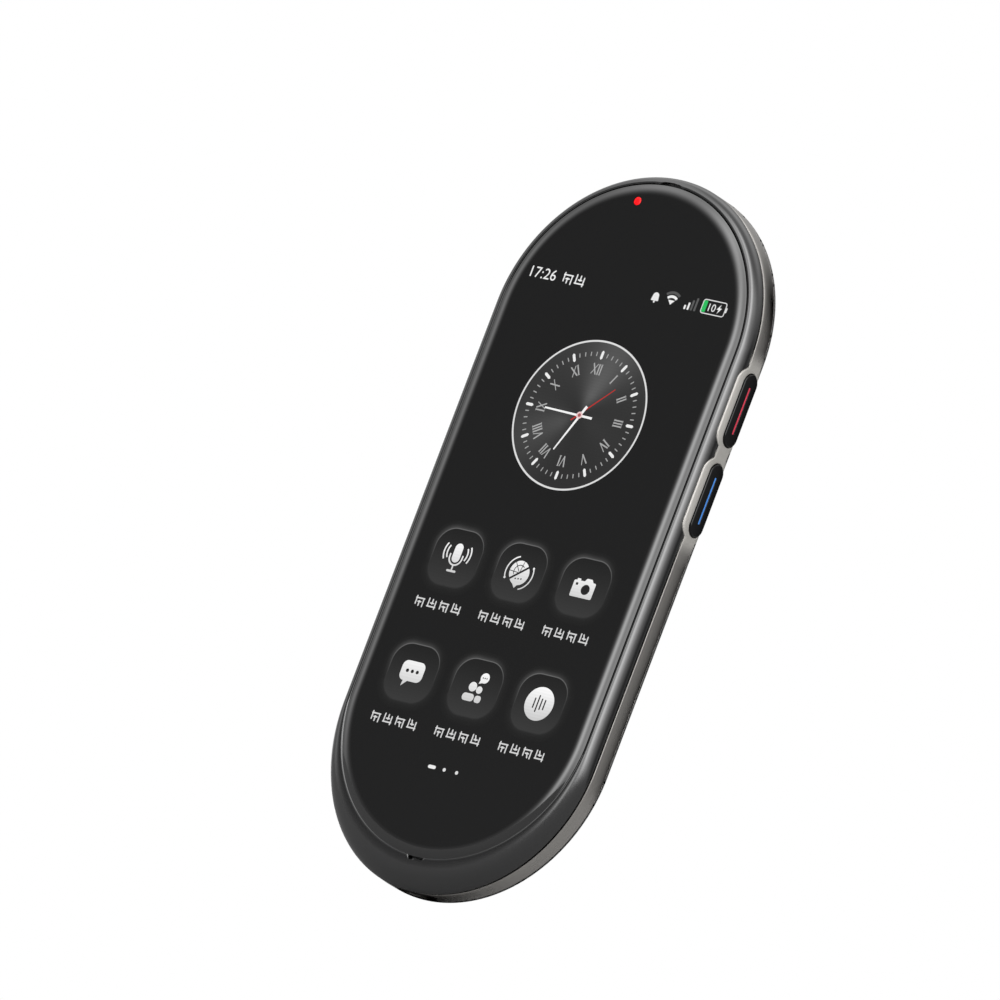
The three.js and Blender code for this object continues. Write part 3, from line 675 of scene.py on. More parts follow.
@dataclass
class Housing:
    """The four outer shells: cover glass, front bezel, middle frame and back cover."""

    outline: Outline
    glass_low: Array
    glass_high: Array
    rail_front: float
    rail_back: float
    seam: float = 0.15
    wall: float = 1.5
    edge_width: float = 0.3
    edge_drop: float = 0.14
    glass_rim: float = 2.3
    glass_drop: float = 0.42
    glass_round: float = 0.14
    glass_sink: float = 0.03
    bezel_land: float = 0.2
    slot_half_length: float = 2.1
    slot_depth: float = 0.3
    groove: float = 0.45
    crown: float = 0.09
    cover_curve: float = 9.0
    key_room: tuple = (-10.45, -4.75)
    hole_rim: float = 0.16
    hole_drop: float = 0.12
    bezel_lip: float = 0.95
    bezel_flange: float = 0.5

    def rounding(self, steps: int) -> tuple[Array, Array]:
        """A quarter ellipse over an edge: how far each point lies inside the edge, and below the face."""
        angle = np.linspace(0.0, math.pi / 2, steps)
        return self.edge_width * (1.0 - np.cos(angle)), self.edge_drop * (1.0 - np.sin(angle))

    def frame_half(self, direction: int) -> tuple[Array, Array]:
        """One half of the frame's wall, from its edge to the line through the holes, as a closed profile.

        The rows run over the rounded edge, across the face, over the rounded rim of the holes and back
        along the inside. At each column they lie between the edge's Y and the hole's Y.

        Args:
            direction: -1 for the half towards the screen, +1 for the half towards the back.

        Returns:
            The grid of points, and the mask of quads to make.
        """
        outline = self.outline
        line = self.rail_front if direction < 0 else self.rail_back
        edge_at = outline.front_edge if direction < 0 else outline.back_edge
        ys, insets = [], []
        for inside, below in zip(*self.rounding(5)):
            ys.append(edge_at(line - direction * inside, -inside))
            insets.append(np.full_like(outline.z, below))
        rim = self.hole_rim
        rim_half, gap, middle = outline.holes(rim)
        face_edge, face_hole = ys[-1], middle + direction * rim_half
        for share in (0.35, 0.7):
            ys.append(face_edge + (face_hole - face_edge) * share)
            insets.append(np.zeros_like(outline.z))
        for angle in np.linspace(math.pi / 2, 0.0, 4):
            grow = rim * (1.0 - math.cos(angle))
            reach = np.clip(np.maximum(grow, gap), 0.0, rim) / rim
            ys.append(middle + direction * outline.holes(grow)[0])
            insets.append(self.hole_drop * (1.0 - np.sqrt(np.clip(1.0 - (1.0 - reach) ** 2, 0.0, 1.0))))
        hole = outline.holes(0.0)[0]
        last_outer = len(ys) - 1
        insets = [inset + self.body_inset(y) + self.crown_inset(y) for inset, y in zip(insets, ys)]
        edge = ys[0]
        ys += [middle + direction * hole, np.clip(edge, self.key_room[0], self.key_room[1]), edge]
        insets += [np.full_like(outline.z, self.wall)] * 2
        insets.append(self.body_inset(edge) + self.wall * 0.6)
        x, z = outline.at(np.array(insets))
        surface = np.stack([x, np.array(ys), z], -1)
        keep = np.ones(surface.shape[:2], bool)
        keep[last_outer] = (hole > 0.0) | (np.roll(hole, -1) > 0.0)
        return surface, keep

    def body_inset(self, y: Array) -> Array:
        """How far the body's surface lies inside the outline at a depth.

        In the bezel the cosine of the profile's angle is 1 less the share of the depth, and the inset
        share is 1 less its sine. In the cover the inset share is 1 less the root of the depth's share.

        Args:
            y: Y of the points.

        Returns:
            The inset of each point.
        """
        seam_y = self.glass_low[1] + self.glass_drop
        cosine = np.clip(1.0 - (y - seam_y) / (self.rail_front - self.seam - seam_y), 0.0, 1.0)
        share = np.clip(y / (self.rail_back + self.seam), 0.0, 1.0)
        return self.side_inset * (1.0 - np.sqrt(1.0 - cosine**2)) + self.cover_curve * (1.0 - np.sqrt(share))

    def crown_inset(self, y: Array) -> Array:
        """How far the rail's crowned face falls back: by the square of the way from its middle.

        Args:
            y: Y of the points.

        Returns:
            The inset of each point.
        """
        middle, half = (self.rail_front + self.rail_back) / 2, (self.rail_back - self.rail_front) / 2
        way = np.clip((y - middle) / half, -1.0, 1.0)
        return self.crown * way**2 * smooth_step(self.outline.island_gap() / 4.0)

    @property
    def side_inset(self) -> float:
        """How far the bezel draws in at the sides, from the rail to its land at the glass."""
        return self.outline.half_width - self.glass_high[0] - self.seam - self.bezel_land

    @property
    def end_insets(self) -> Spot:
        """How far the bezel draws in at the top and at the chin."""
        whole = self.outline.half_length - self.seam - self.bezel_land
        return whole - self.glass_high[2], whole + self.glass_low[2]

    def make_frame(self, finish: Finish) -> Piece:
        """Middle frame: both halves of its wall, welded along the line through the holes.

        Args:
            finish: The rail's finish.

        Returns:
            The piece, with the share of the paler finish round the keys.
        """
        shell = Shell()
        for direction in (-1, 1):
            surface, keep = self.frame_half(direction)
            shell.grid(surface, True, True, keep)
        piece = shell.make("rail_shell", finish.build(), 28.0)
        spots = np.array([v.co for v in piece.data.vertices]) / MM
        pale = np.zeros(len(spots))
        for key in self.outline.keys:
            gap = np.abs(spots[:, 2] - key.z) - key.length / 2 - self.outline.island_reach
            outer = spots[:, 0] * key.side.value > self.outline.half_width - 1.2
            pale = np.maximum(pale, outer * (1.0 - smooth_step(gap / 3.5)))
        piece.data.attributes.new("pale", "FLOAT", "POINT").data.foreach_set("value", pale)
        return piece

    def bezel_shift(self, share: Array) -> Array:
        """How the circle centres move as the bezel draws in, so that its chin is deeper than its top.

        Args:
            share: 0 at the outside and 1 at the glass edge.

        Returns:
            The shift in rows by columns: up below the middle, down a little above it.
        """
        top, chin = (inset - self.side_inset for inset in self.end_insets)
        height = self.outline.middle / self.outline.centre
        return share * (np.clip(-height, 0.0, 1.0) * chin - np.clip(height, 0.0, 1.0) * top)

    def slot_land(self) -> Array:
        """Inset share of the bezel's land at each column, which the sound slots at both ends draw back.

        Returns:
            The share.
        """
        outline, (top, chin) = self.outline, self.end_insets
        across = np.abs(outline.x) / self.slot_half_length
        slot = smooth_step((1.0 - across) / 0.3) * (np.abs(outline.z) > outline.centre)
        land = self.bezel_land / self.side_inset
        return 1.0 + land - slot * (land + self.slot_depth / np.where(outline.z < 0, chin, top))

    def make_bezel(self, finish: Finish) -> Piece:
        """Front bezel: a quarter ellipse from the glass edge to the rail, trimmed along the islands.

        At a profile angle the inset share is 1 less its sine and the depth share 1 less its cosine.
        The sound slots at both ends start the curve further out. The rows run up the wall at the
        glass, over its small round, down the curve, and into the groove at the rail.

        Args:
            finish: The bezel's finish.

        Returns:
            The piece.
        """
        outline, side_inset, land = self.outline, self.side_inset, self.slot_land()
        seam_y = self.glass_low[1] + self.glass_drop
        depth = self.rail_front - self.seam - seam_y
        low_y = outline.front_edge(self.rail_front - self.seam, self.seam)
        groove_y = low_y - 0.1 - (self.groove - 0.1) * smooth_step(outline.island_gap() / 0.8)
        first = np.arcsin(np.clip(1.0 - land, 0.0, 1.0))
        last = np.arccos(np.clip(1.0 - (groove_y - seam_y) / depth, -1.0, 1.0))
        lip_y = np.full_like(outline.z, seam_y + self.bezel_lip)
        top_y = seam_y + depth * (1.0 - np.cos(first))
        round_y = 0.07
        rows = [(land + 0.9 / side_inset, lip_y), (land, lip_y), (land, top_y + round_y)]
        rows.append((land - round_y / side_inset * 0.7, top_y + 0.012))
        for share in np.linspace(0.0, 1.0, 20):
            angle = first + (last - first) * share
            rows.append((1.0 - np.sin(angle), seam_y + depth * (1.0 - np.cos(angle))))
        end, flange = rows[-1][0], rows[-1][0] + self.bezel_flange / side_inset
        rows += [(end + 0.04 / side_inset, groove_y + 0.03), (flange, groove_y + 0.05), (flange, low_y)]
        rows.append((np.full_like(outline.z, self.wall / side_inset), low_y))
        share, y = np.array([row[0] for row in rows]), np.array([row[1] for row in rows])
        x, z = outline.at(share * side_inset, self.bezel_shift(share))
        shell = Shell()
        shell.grid(np.stack([x, y, z], -1), True, True)
        return shell.make("bezel_shell", finish.build(), 40.0)

    def make_glass(self, finish: Finish, light: tuple[float, float, float]) -> Piece:
        """Cover glass: flat, with a rim that falls by the square of the way out, and a hole for the light.

        Args:
            finish: The glass's finish.
            light: X, Z and radius of the hole.

        Returns:
            The piece.
        """
        outline, half_width = self.outline, self.glass_high[0]
        front, radius, thick, sides = self.glass_low[1] + self.glass_sink, self.glass_round, 0.5, 40
        start = self.glass_rim + 0.08
        rows = [(start, front), (self.glass_rim + 0.04, front)]
        for out in np.linspace(0.0, 1.0, 18):
            fall = (self.glass_drop - self.glass_sink) * out * out
            rows.append((radius + (self.glass_rim - radius) * (1.0 - out), front + fall))
        edge_y = rows[-1][1]
        for turn in np.radians([36.0, 54.0, 72.0, 90.0]):
            rows.append((radius * (1.0 - np.sin(turn)), edge_y + radius * (0.95 - np.cos(turn))))
        rows += [(0.0, edge_y + thick), (start, edge_y + thick)]
        top_centre, low_centre = self.glass_high[2] - half_width, self.glass_low[2] + half_width
        span = (outline.middle + outline.centre) / (2.0 * outline.centre)
        middle = low_centre + (top_centre - low_centre) * span
        inset = np.array([row[0] for row in rows])[:, None] + (outline.half_width - half_width)
        x, z = outline.at(inset, middle - outline.middle)
        y = np.broadcast_to(np.array([row[1] for row in rows])[:, None], x.shape)
        surface = np.stack([x, y, z], -1)
        shell = Shell()
        shell.grid(surface, False, True)
        hole = circle(light[2], sides, light[:2])
        plane, faces, at = triangulated([surface[0][:, [0, 2]], hole])
        faces = open_faces(len(plane), faces, at[1:])
        levels = (front, rows[-1][1])
        for level in levels:
            shell.add(np.insert(plane, 1, level, axis=1), faces.tolist())
        shell.grid(np.array([np.insert(hole, 1, level, axis=1) for level in levels]), False, True)
        return shell.make("glass_shell", finish.build(), 30.0)


def open_faces(count: int, faces: Array, loops: list) -> Array:
    """The triangles that don't lie inside a round loop, which are those with three corners on one loop.

    Args:
        count: Number of points.
        faces: All triangles.
        loops: Indices of each round loop's points.

    Returns:
        The triangles that stay.
    """
    label = np.full(count, -1)
    for number, loop in enumerate(loops):
        label[loop] = number
    corner = label[faces]
    inside = (corner[:, 0] >= 0) & (corner[:, 0] == corner[:, 1]) & (corner[:, 1] == corner[:, 2])
    return faces[~inside]


def wall_faces(upper: Array, lower: Array) -> Array:
    """Triangles between a loop on the outer surface and the same loop on the inner one."""
    after = np.roll(upper, -1)
    halves = ([upper, lower, after], [after, lower, np.roll(lower, -1)])
    return np.concatenate([np.stack(half, 1) for half in halves])


def flat_normals(points: Array, faces: Array) -> Array:
    """Normals of triangles, as long as twice their areas."""
    corner = points[faces]
    return np.cross(corner[:, 1] - corner[:, 0], corner[:, 2] - corner[:, 0])


def turned_to(points: Array, faces: Array, away: Array) -> Array:
    """Triangles turned so that each faces its given direction.

    Args:
        points: All points.
        faces: The triangles.
        away: A direction for each triangle.

    Returns:
        The triangles, some of them with their order turned round.
    """
    back = (flat_normals(points, faces) * away).sum(1) < 0.0
    return np.where(back[:, None], faces[:, ::-1], faces)


@dataclass
class DimpledBack:
    """The back cover: a flat pill with a curved edge, rings of dimples, speaker holes and the camera's hole.

    The surface is worked out in an unrolled plane. Inside the flat pill a plane point is the real
    one. Beyond it, the distance out is the length along the edge's curve.
    """

    housing: Housing
    camera_z: float
    camera_hole: float
    speaker_radius: float
    speaker_pitch: float = 2.7
    speaker_hole_pitch: float = 2.28
    speaker_hole: float = 0.68
    speaker_counts: tuple = (9, 8)
    ring_start: float = 6.4
    ring_pitch: float = 2.66
    dimple_pitch: float = 2.28
    dimple_radius: float = 0.66
    dimple_depth: float = 0.34
    bowl_power: float = 2.2
    bare_edge: float = 2.3
    bare_hole: float = 1.62
    fade_from: float = 6.0
    fade_to: float = -20.0
    fade_power: float = 0.8
    rings: int = 26
    cover_wall: float = 1.3
    under_pitch: float = 2.2
    dimple_sides: int = 14
    rim_band: float = 0.4
    seed: int = 11

    def __post_init__(self) -> None:
        """Tabulates the edge's curve by its length: the depth grows with the square of the way out."""
        self.rim = self.housing.rail_back + self.housing.seam
        self.share = np.linspace(0.0, 1.0, 600)
        self.y = self.rim * self.share**2
        steps = np.hypot(np.diff(self.housing.cover_curve * self.share), np.diff(self.y))
        self.way = np.concatenate([[0.0], np.cumsum(steps)])
        self.flat = self.housing.outline.half_width - self.housing.cover_curve
        self.edge_length = self.flat + self.way[-1]

    def away(self, plane: Array) -> tuple[Array, Array]:
        """Height of each point's circle centre, and the way from there to the point."""
        centre = np.clip(plane[:, 1], -self.housing.outline.centre, self.housing.outline.centre)
        return centre, np.stack([plane[:, 0], plane[:, 1] - centre], 1)

    def surface(self, plane: Array, sink: Array | float = 0.0, wall: float = 0.0) -> tuple[Array, Array]:
        """Bends plane points onto the cover, or onto its inner side.

        The distance out is how far a point lies beyond the flat pill. The edge's curve turns it
        into a distance from the pill and a depth. Twice the depth's share leans its normal out.

        Args:
            plane: Points in the unrolled plane.
            sink: How far each point lies under the surface.
            wall: How far the inner side lies under the flat and inside the rim.

        Returns:
            Points and outward normals in space.
        """
        centre, away = self.away(plane)
        length = np.hypot(away[:, 0], away[:, 1])
        heading = away / np.maximum(length, 1e-9)[:, None]
        share = np.interp(np.clip(length - self.flat, 0.0, self.way[-1]), self.way, self.share)
        curve = self.housing.cover_curve
        radius = np.minimum(length, self.flat) + (curve - wall) * share
        y = (self.rim + wall) * share**2 - wall
        lean_out = -2.0 * self.rim * share
        lean = np.hypot(lean_out, curve)
        normal = np.stack([heading[:, 0] * lean_out / lean, curve / lean, heading[:, 1] * lean_out / lean], 1)
        point = np.stack([heading[:, 0] * radius, y, centre + heading[:, 1] * radius], 1)
        return point - normal * np.asarray(sink).reshape(-1, 1), normal

    def rim_reach(self) -> Array:
        """Length along the edge's curve at which the rim lies, at each column of the outline."""
        return np.interp(-self.housing.outline.back_edge(self.rim, self.housing.seam), -self.y, self.way)

    def edge_loop(self) -> Array:
        """The cover's rim in the unrolled plane, trimmed along the islands."""
        outline, radius = self.housing.outline, self.flat + self.rim_reach()
        return np.stack([radius * np.cos(outline.angle), outline.middle + radius * np.sin(outline.angle)], 1)

    def on_ring(self, radius: float, angle: Array) -> Array:
        """Points on a ring round the camera, at clockwise angles from the top."""
        return np.stack([radius * np.sin(angle), self.camera_z + radius * np.cos(angle)], 1)

    def speaker_places(self) -> Array:
        """Centres of the speaker holes: two arcs round the camera, evenly spaced along the arc.

        Returns:
            The centres in the plane.
        """
        places = []
        for row, count in enumerate(self.speaker_counts):
            radius = self.speaker_radius - row * self.speaker_pitch
            along = (np.arange(count) - (count - 1) / 2) * self.speaker_hole_pitch
            places.append(self.on_ring(radius, along / radius))
        return np.concatenate(places)

    def dimple_places(self) -> Array:
        """Centres of the dimples: rings round the camera, which thin out towards the lower end.

        Each ring holds as many as its length divided by the pitch. Below the fade's start a dimple
        stays with a chance that falls to nothing at the fade's end.

        Returns:
            The centres in the plane.
        """
        chance = np.random.default_rng(self.seed)
        kept = []
        for ring in range(self.rings):
            radius = self.ring_start + ring * self.ring_pitch
            count = int(round(2.0 * math.pi * radius / self.dimple_pitch))
            place = self.on_ring(radius, (np.arange(count) + 0.5 * (ring % 2)) * 2.0 * math.pi / count)
            share = np.clip((place[:, 1] - self.fade_to) / (self.fade_from - self.fade_to), 0.0, 1.0)
            kept.append(place[chance.random(count) < share**self.fade_power])
        place = np.concatenate(kept)
        away = self.away(place)[1]
        reach = np.hypot(away[:, 0], away[:, 1])
        clear = reach < self.edge_length - self.dimple_radius - self.bare_edge
        clear &= distances(place, self.speaker_places()).min(1) > self.bare_hole
        for key in self.housing.outline.keys:
            near = (np.sign(place[:, 0]) == key.side.value) & (reach > self.edge_length - 3.6)
            clear &= ~(near & (np.abs(place[:, 1] - key.z) < key.length / 2 + 2.4))
        return place[clear]

    def make(self, finish: Finish) -> Piece:
        """Triangulates the unrolled plane round the holes and dimples, bends it, and adds bowls and walls.

        Args:
            finish: The cover's finish.

        Returns:
            The piece.
        """
        self.edge = self.edge_loop()
        speakers, dimples = self.speaker_places(), self.dimple_places()
        holes = [circle(self.camera_hole, 72, (0.0, self.camera_z))]
        holes += [circle(self.speaker_hole, 20, tuple(p)) for p in speakers]
        bowls = [circle(self.dimple_radius, self.dimple_sides, tuple(p)) for p in dimples]
        bores = [(x, z, self.speaker_hole) for x, z in speakers]
        self.holes = np.array([*bores, (0.0, self.camera_z, self.camera_hole)])
        plane, faces, at = triangulated([self.edge, *holes, *bowls], self.edge_points(dimples))
        faces = open_faces(len(plane), faces, at[1:])
        under_extra = self.edge_points(np.zeros((0, 2)), self.under_pitch)
        under_plane, under_faces, under_at = triangulated([self.edge, *holes], under_extra)
        under_faces = open_faces(len(under_plane), under_faces, under_at[1:])
        skin, skin_normal = self.surface(plane)
        under, under_normal = self.surface(under_plane, wall=self.cover_wall)
        base, both = len(skin), np.concatenate([skin, under])
        parts = [
            turned_to(skin, faces, skin_normal[faces].sum(1)),
            turned_to(under, under_faces, -under_normal[under_faces].sum(1)) + base,
        ]
        for number, (loop, under_loop) in enumerate(zip(at[: len(holes) + 1], under_at)):
            wall = wall_faces(np.array(loop), np.array(under_loop) + base)
            middle = both[wall].mean(1)
            outward = self.away(middle[:, [0, 2]])[1]
            away = skin[loop].mean(0) - middle if number else np.insert(outward, 1, 0.0, axis=1)
            parts.append(turned_to(both, wall, away))
        bowl, bowl_normal, bowl_faces = self.bowls(dimples, np.array(at[len(holes) + 1:]), len(both))
        points = np.concatenate([both, bowl])
        normals = np.concatenate([skin_normal, -under_normal, bowl_normal])
        parts.append(turned_to(points, bowl_faces, normals[bowl_faces].sum(1)))
        return self.build(points, normals, parts, len(both), finish)

    def bowls(self, dimples: Array, lips: Array, base: int) -> tuple[Array, Array, Array]:
        """The dimples' bowls: rings of points that sink by 1 less a power of the share of the radius.

        Args:
            dimples: Centres of the dimples.
            lips: For each dimple, the indices of its lip on the outer surface.
            base: Index of the first new point.

        Returns:
            Points, normals and triangles.
        """
        sides, power = self.dimple_sides, self.bowl_power
        levels = np.array([0.9, 0.66, 0.34])
        share = np.concatenate([np.repeat(levels, sides), [0.0]])
        heading = np.concatenate([np.tile(circle(1.0, sides), (len(levels), 1)), [[0.0, 0.0]]])
        spots = (dimples[:, None] + (heading * share[:, None] * self.dimple_radius)[None]).reshape(-1, 2)
        bowl, normal = self.surface(spots, np.tile(self.dimple_depth * (1.0 - share**power), len(dimples)))
        slope = power * self.dimple_depth / self.dimple_radius * share ** (power - 1.0)
        tilt = np.tile(-slope[:, None] * heading, (len(dimples), 1))
        east, north = self.tangents(spots)
        normal = normal + east * tilt[:, :1] + north * tilt[:, 1:]
        normal /= np.linalg.norm(normal, axis=1)[:, None]
        # Painted shade: points of the outer bowl rings, mostly on the +X side, take a share of the cover's
        # dark colour, a crescent in each dimple.
        shade = np.clip(0.15 + heading @ np.array([1.0, 0.15]), 0.0, 1.0) * (share > 0.5)
        self.painted_pit_shades = np.concatenate([np.zeros(base), np.tile(shade, len(dimples))])
        start = base + np.arange(len(dimples))[:, None] * len(share)
        step = (np.arange(sides) + 1) % sides
        rows = [lips] + [start + np.arange(sides) + sides * level for level in range(len(levels))]
        corners = []
        for upper, lower in zip(rows, rows[1:]):
            corners += [(upper, upper[:, step], lower[:, step]), (upper, lower[:, step], lower)]
        hub = np.broadcast_to(start + len(share) - 1, rows[-1].shape)
        corners.append((rows[-1], rows[-1][:, step], hub))
        return bowl, normal, np.concatenate([np.stack(three, -1).reshape(-1, 3) for three in corners])

    def tangents(self, plane: Array) -> tuple[Array, Array]:
        """Directions in space of the plane's two axes, from small steps along each."""
        ways = [self.surface(plane + step)[0] - self.surface(plane)[0] for step in ([0.02, 0.0], [0.0, 0.02])]
        east, north = (way / np.linalg.norm(way, axis=1)[:, None] for way in ways)
        return east, north

    def edge_points(self, dimples: Array, pitch: float = 0.8) -> Array:
        """Further points over the curved edge, in rows along it, clear of the rim and the dimples.

        The first row follows the rim inside its plain stretches.

        Args:
            dimples: Centres to keep clear of.
            pitch: Distance between the rows.

        Returns:
            Points in the unrolled plane.
        """
        outline = self.housing.outline
        straight = np.arange(-outline.centre, outline.centre, pitch * 1.6)
        arc = np.linspace(0.0, math.pi, int(outline.half_width * math.pi / pitch / 1.3))[1:-1]
        angle = np.concatenate([np.zeros(len(straight)), arc, np.full(len(straight), math.pi), math.pi + arc])
        centre = np.full(len(arc), outline.centre)
        middle = np.concatenate([straight, centre, straight[::-1], -centre])
        limit = self.rim_reach()
        away = self.away(self.edge)[1]
        width = np.hypot(away[:, 0], away[:, 1])[:, None]
        beside = (self.edge - self.rim_band * away / width)[width[:, 0] > width.max() - 0.02]
        cloud = [beside[distances(beside, self.edge).min(1) > 0.3]]
        for row in np.arange(0.0, self.way[-1], pitch):
            radius = self.flat + row
            spot = np.stack([radius * np.cos(angle), middle + radius * np.sin(angle)], 1)
            reach = distances(spot, self.edge)
            spot = spot[(reach.min(1) > 0.75) & (row < limit[reach.argmin(1)] - 0.3)]
            spot = spot[(distances(spot, self.holes) - self.holes[:, 2]).min(1) > 0.25]
            if len(dimples):
                spot = spot[distances(spot, dimples).min(1) > self.dimple_radius + 0.2]
            cloud.append(spot)
        return np.concatenate(cloud)

    def build(self, points: Array, normals: Array, parts: list, own_from: int, finish: Finish) -> Piece:
        """Makes the object, with the surface's own normals on the outer skin and in the bowls.

        Args:
            points: All points in millimetres.
            normals: The surface's normal at each point.
            parts: Triangles of the skin, the inner surface, each wall, and the bowls.
            own_from: Index of the first point that belongs to the bowls alone.
            finish: The cover's finish.

        Returns:
            The piece.
        """
        faces = np.concatenate(parts)
        flat = flat_normals(points, faces)
        flat /= np.maximum(np.linalg.norm(flat, axis=1), 1e-12)[:, None]
        own = faces >= own_from
        own[: len(parts[0]) + len(parts[1])] = True
        split = np.where(own[..., None], normals[faces], flat[:, None])
        mesh = bpy.data.meshes.new("cover_shell")
        mesh.from_pydata((points * MM).tolist(), [], faces.tolist())
        mesh.polygons.foreach_set("use_smooth", np.ones(len(mesh.polygons), bool))
        mesh.normals_split_custom_set(split.reshape(-1, 3).tolist())
        # The share of painted shade in each dimple, which the cover's finish reads.
        mesh.attributes.new("painted_pit_shade", "FLOAT", "POINT").data.foreach_set("value", self.painted_pit_shades)
        return placed("cover_shell", mesh, finish.build())


# Side keys


def pill(half_length: float, radius: float, steps: int = 14) -> tuple[Array, Array]:
    """A loop of two half circles and the straight lines between them.

    Each half circle is the cosine and sine of its angle times the radius, moved out by the straight
    part's half length.

    Args:
        half_length: From the middle to the round end.
        radius: Of the round ends.
        steps: Points over each half circle, less one.

    Returns:
        The way along and the way across, for each point.
    """
    half = np.linspace(-math.pi / 2, math.pi / 2, steps + 1)
    angle = np.concatenate([half, half + math.pi])
    straight = np.concatenate([np.ones(steps + 1), -np.ones(steps + 1)]) * (half_length - radius)
    return straight + radius * np.cos(angle), radius * np.sin(angle)


@dataclass
class SideKey:
    """A key cap in the side wall, with a flange inside, and a slot for a light line or a raised sign."""

    place: KeyPlace
    y: float
    face: float
    back: float
    half_height: float = 1.82
    edge: float = 0.25
    flange: float = 0.6
    lip: float = 0.6
    line_half_length: float = 4.35
    line_half_width: float = 0.18
    line_depth: float = 0.5
    line_gap: float = 0.06
    sign_height: float = 0.03

    def loops(self, rows: list[tuple[float, float, float]]) -> Array:
        """Stacks pill loops into a grid of points.

        Args:
            rows: Half length, radius and X of each loop, as if the key sat on the right side.

        Returns:
            The grid, on the key's own side.
        """
        grid = []
        for half_length, radius, x in rows:
            along, across = pill(half_length, radius)
            grid.append(np.stack([np.full_like(along, x), self.y + across, self.place.z + along], 1))
        surface = np.array(grid)
        surface[..., 0] *= self.place.side.value
        return surface

    def solid(self, name: str, rows: list, finish: Finish) -> Piece:
        """Makes a closed piece from pill loops, with a flat cap on the first and last.

        Args:
            name: The piece's name.
            rows: The loops, as loops() takes them.
            finish: Its finish.

        Returns:
            The piece.
        """
        surface = self.loops(rows)
        shell = Shell()
        shell.grid(surface, False, True)
        for loop in (surface[0], surface[-1]):
            shell.add(loop, [list(range(len(loop)))])
        return shell.make(name, finish.build(), 40.0)

    def cap_rows(self, with_line: bool) -> list[tuple[float, float, float]]:
        """Loops of the cap: the slot's floor and wall, the face, its rounded edge, the side and the flange.

        Args:
            with_line: True if the face has the slot.

        Returns:
            The loops.
        """
        half = self.place.length / 2
        rows = []
        if with_line:
            length, width = self.line_half_length + self.line_gap, self.line_half_width + self.line_gap
            rows += [(length, width, self.face - self.line_depth), (length, width, self.face - 0.05)]
            rows.append((length + 0.03, width + 0.03, self.face))
        for angle in np.linspace(math.pi / 2, 0.0, 8):
            draw, fall = self.edge * (1.0 - math.cos(angle)), self.edge * (1.0 - math.sin(angle))
            rows.append((half - draw, self.half_height - draw, self.face - fall))
        flange_top = self.back + self.flange
        sides = [(0.0, flange_top + 0.1), (0.1, flange_top), (self.lip - 0.1, flange_top)]
        sides += [(self.lip, flange_top - 0.1), (self.lip, self.back)]
        return rows + [(half + out, self.half_height + out, x) for out, x in sides]

    def make_cap(self, name: str, finish: Finish, with_line: bool = True) -> Piece:
        """Makes the cap."""
        return self.solid(name, self.cap_rows(with_line), finish)

    def make_line(self, name: str, finish: Finish) -> Piece:
        """Makes the light line, flush with the face, with a small round along its edge."""
        draws = ((0.06, 0.02), (0.02, 0.035), (0.0, 0.08), (0.0, self.line_depth))
        rows = [(self.line_half_length - d, self.line_half_width - d, self.face - fall) for d, fall in draws]
        return self.solid(name, rows, finish)

    def make_sign(self, name: str, finish: Finish) -> Piece:
        """Makes the power sign on the face: an open ring with a bar at its gap, as thin raised strokes.

        The ring's points are the cosine and sine of an angle that leaves a gap at the top, times the
        radius at the inner and outer side of the stroke.

        Args:
            name: The piece's name.
            finish: Its finish.

        Returns:
            The piece.
        """
        radius, stroke, foot, top = 0.62, 0.075, -0.05, self.sign_height

        def raised(rise: float, across: Array, along: Array) -> Array:
            """Points at a height over the face, as if the key sat on the right side."""
            return np.stack([np.full_like(along, self.face + rise), self.y + across, self.place.z + along], 1)

        angle = np.linspace(math.radians(55), math.radians(305), 30)
        corners = ((-stroke, foot), (-stroke, top), (stroke, top), (stroke, foot))
        sine, cosine = np.sin(angle), np.cos(angle)
        ring = [raised(rise, (radius + side) * sine, (radius + side) * cosine) for side, rise in corners]
        ends = np.array([0.22, 0.86])
        bar = [raised(rise, np.full(2, side), ends) for rise in (foot, top) for side in (-stroke, stroke)]
        shell = Shell()
        shell.grid(np.array(ring), True, False)
        shell.add(np.array(ring)[:, 0], [[0, 1, 2, 3]])
        shell.add(np.array(ring)[:, -1], [[0, 1, 2, 3]])
        box = [[0, 1, 3, 2], [4, 6, 7, 5], [0, 4, 5, 1], [2, 3, 7, 6], [0, 2, 6, 4], [1, 5, 7, 3]]
        shell.add(np.concatenate(bar), box)
        shell.points = [part * [self.place.side.value, 1.0, 1.0] for part in shell.points]
        return shell.make(name, finish.build(), 40.0)


# Camera


def lathe(profile: list[Spot], centre: Spot, steps: int = 96) -> Shell:
    """A profile of radius and Y turned round an axis along Y.

    Each point is the centre plus the radius times the cosine and sine of an even angle. A radius of
    0 at either end closes there.

    Args:
        profile: Radius and Y of each row.
        centre: X and Z of the axis.
        steps: Columns once round.

    Returns:
        The shell.
    """
    rows = np.array(profile)
    turns = circle(1.0, steps)
    x, z = centre[0] + rows[:, :1] * turns[:, 0], centre[1] + rows[:, :1] * turns[:, 1]
    y = np.broadcast_to(rows[:, 1:], x.shape)
    shell = Shell()
    shell.grid(np.stack([x, y, z], -1), rows[0, 0] > 0.0 or rows[-1, 0] > 0.0, True)
    return shell


def arc_rows(centre: Spot, radius: float, start: float, end: float, steps: int) -> list:
    """Rows of a profile along an arc: the centre plus the radius times the cosine and sine, in degrees."""
    angle = np.radians(np.linspace(start, end, steps))
    return list(zip(centre[0] + radius * np.cos(angle), centre[1] + radius * np.sin(angle)))


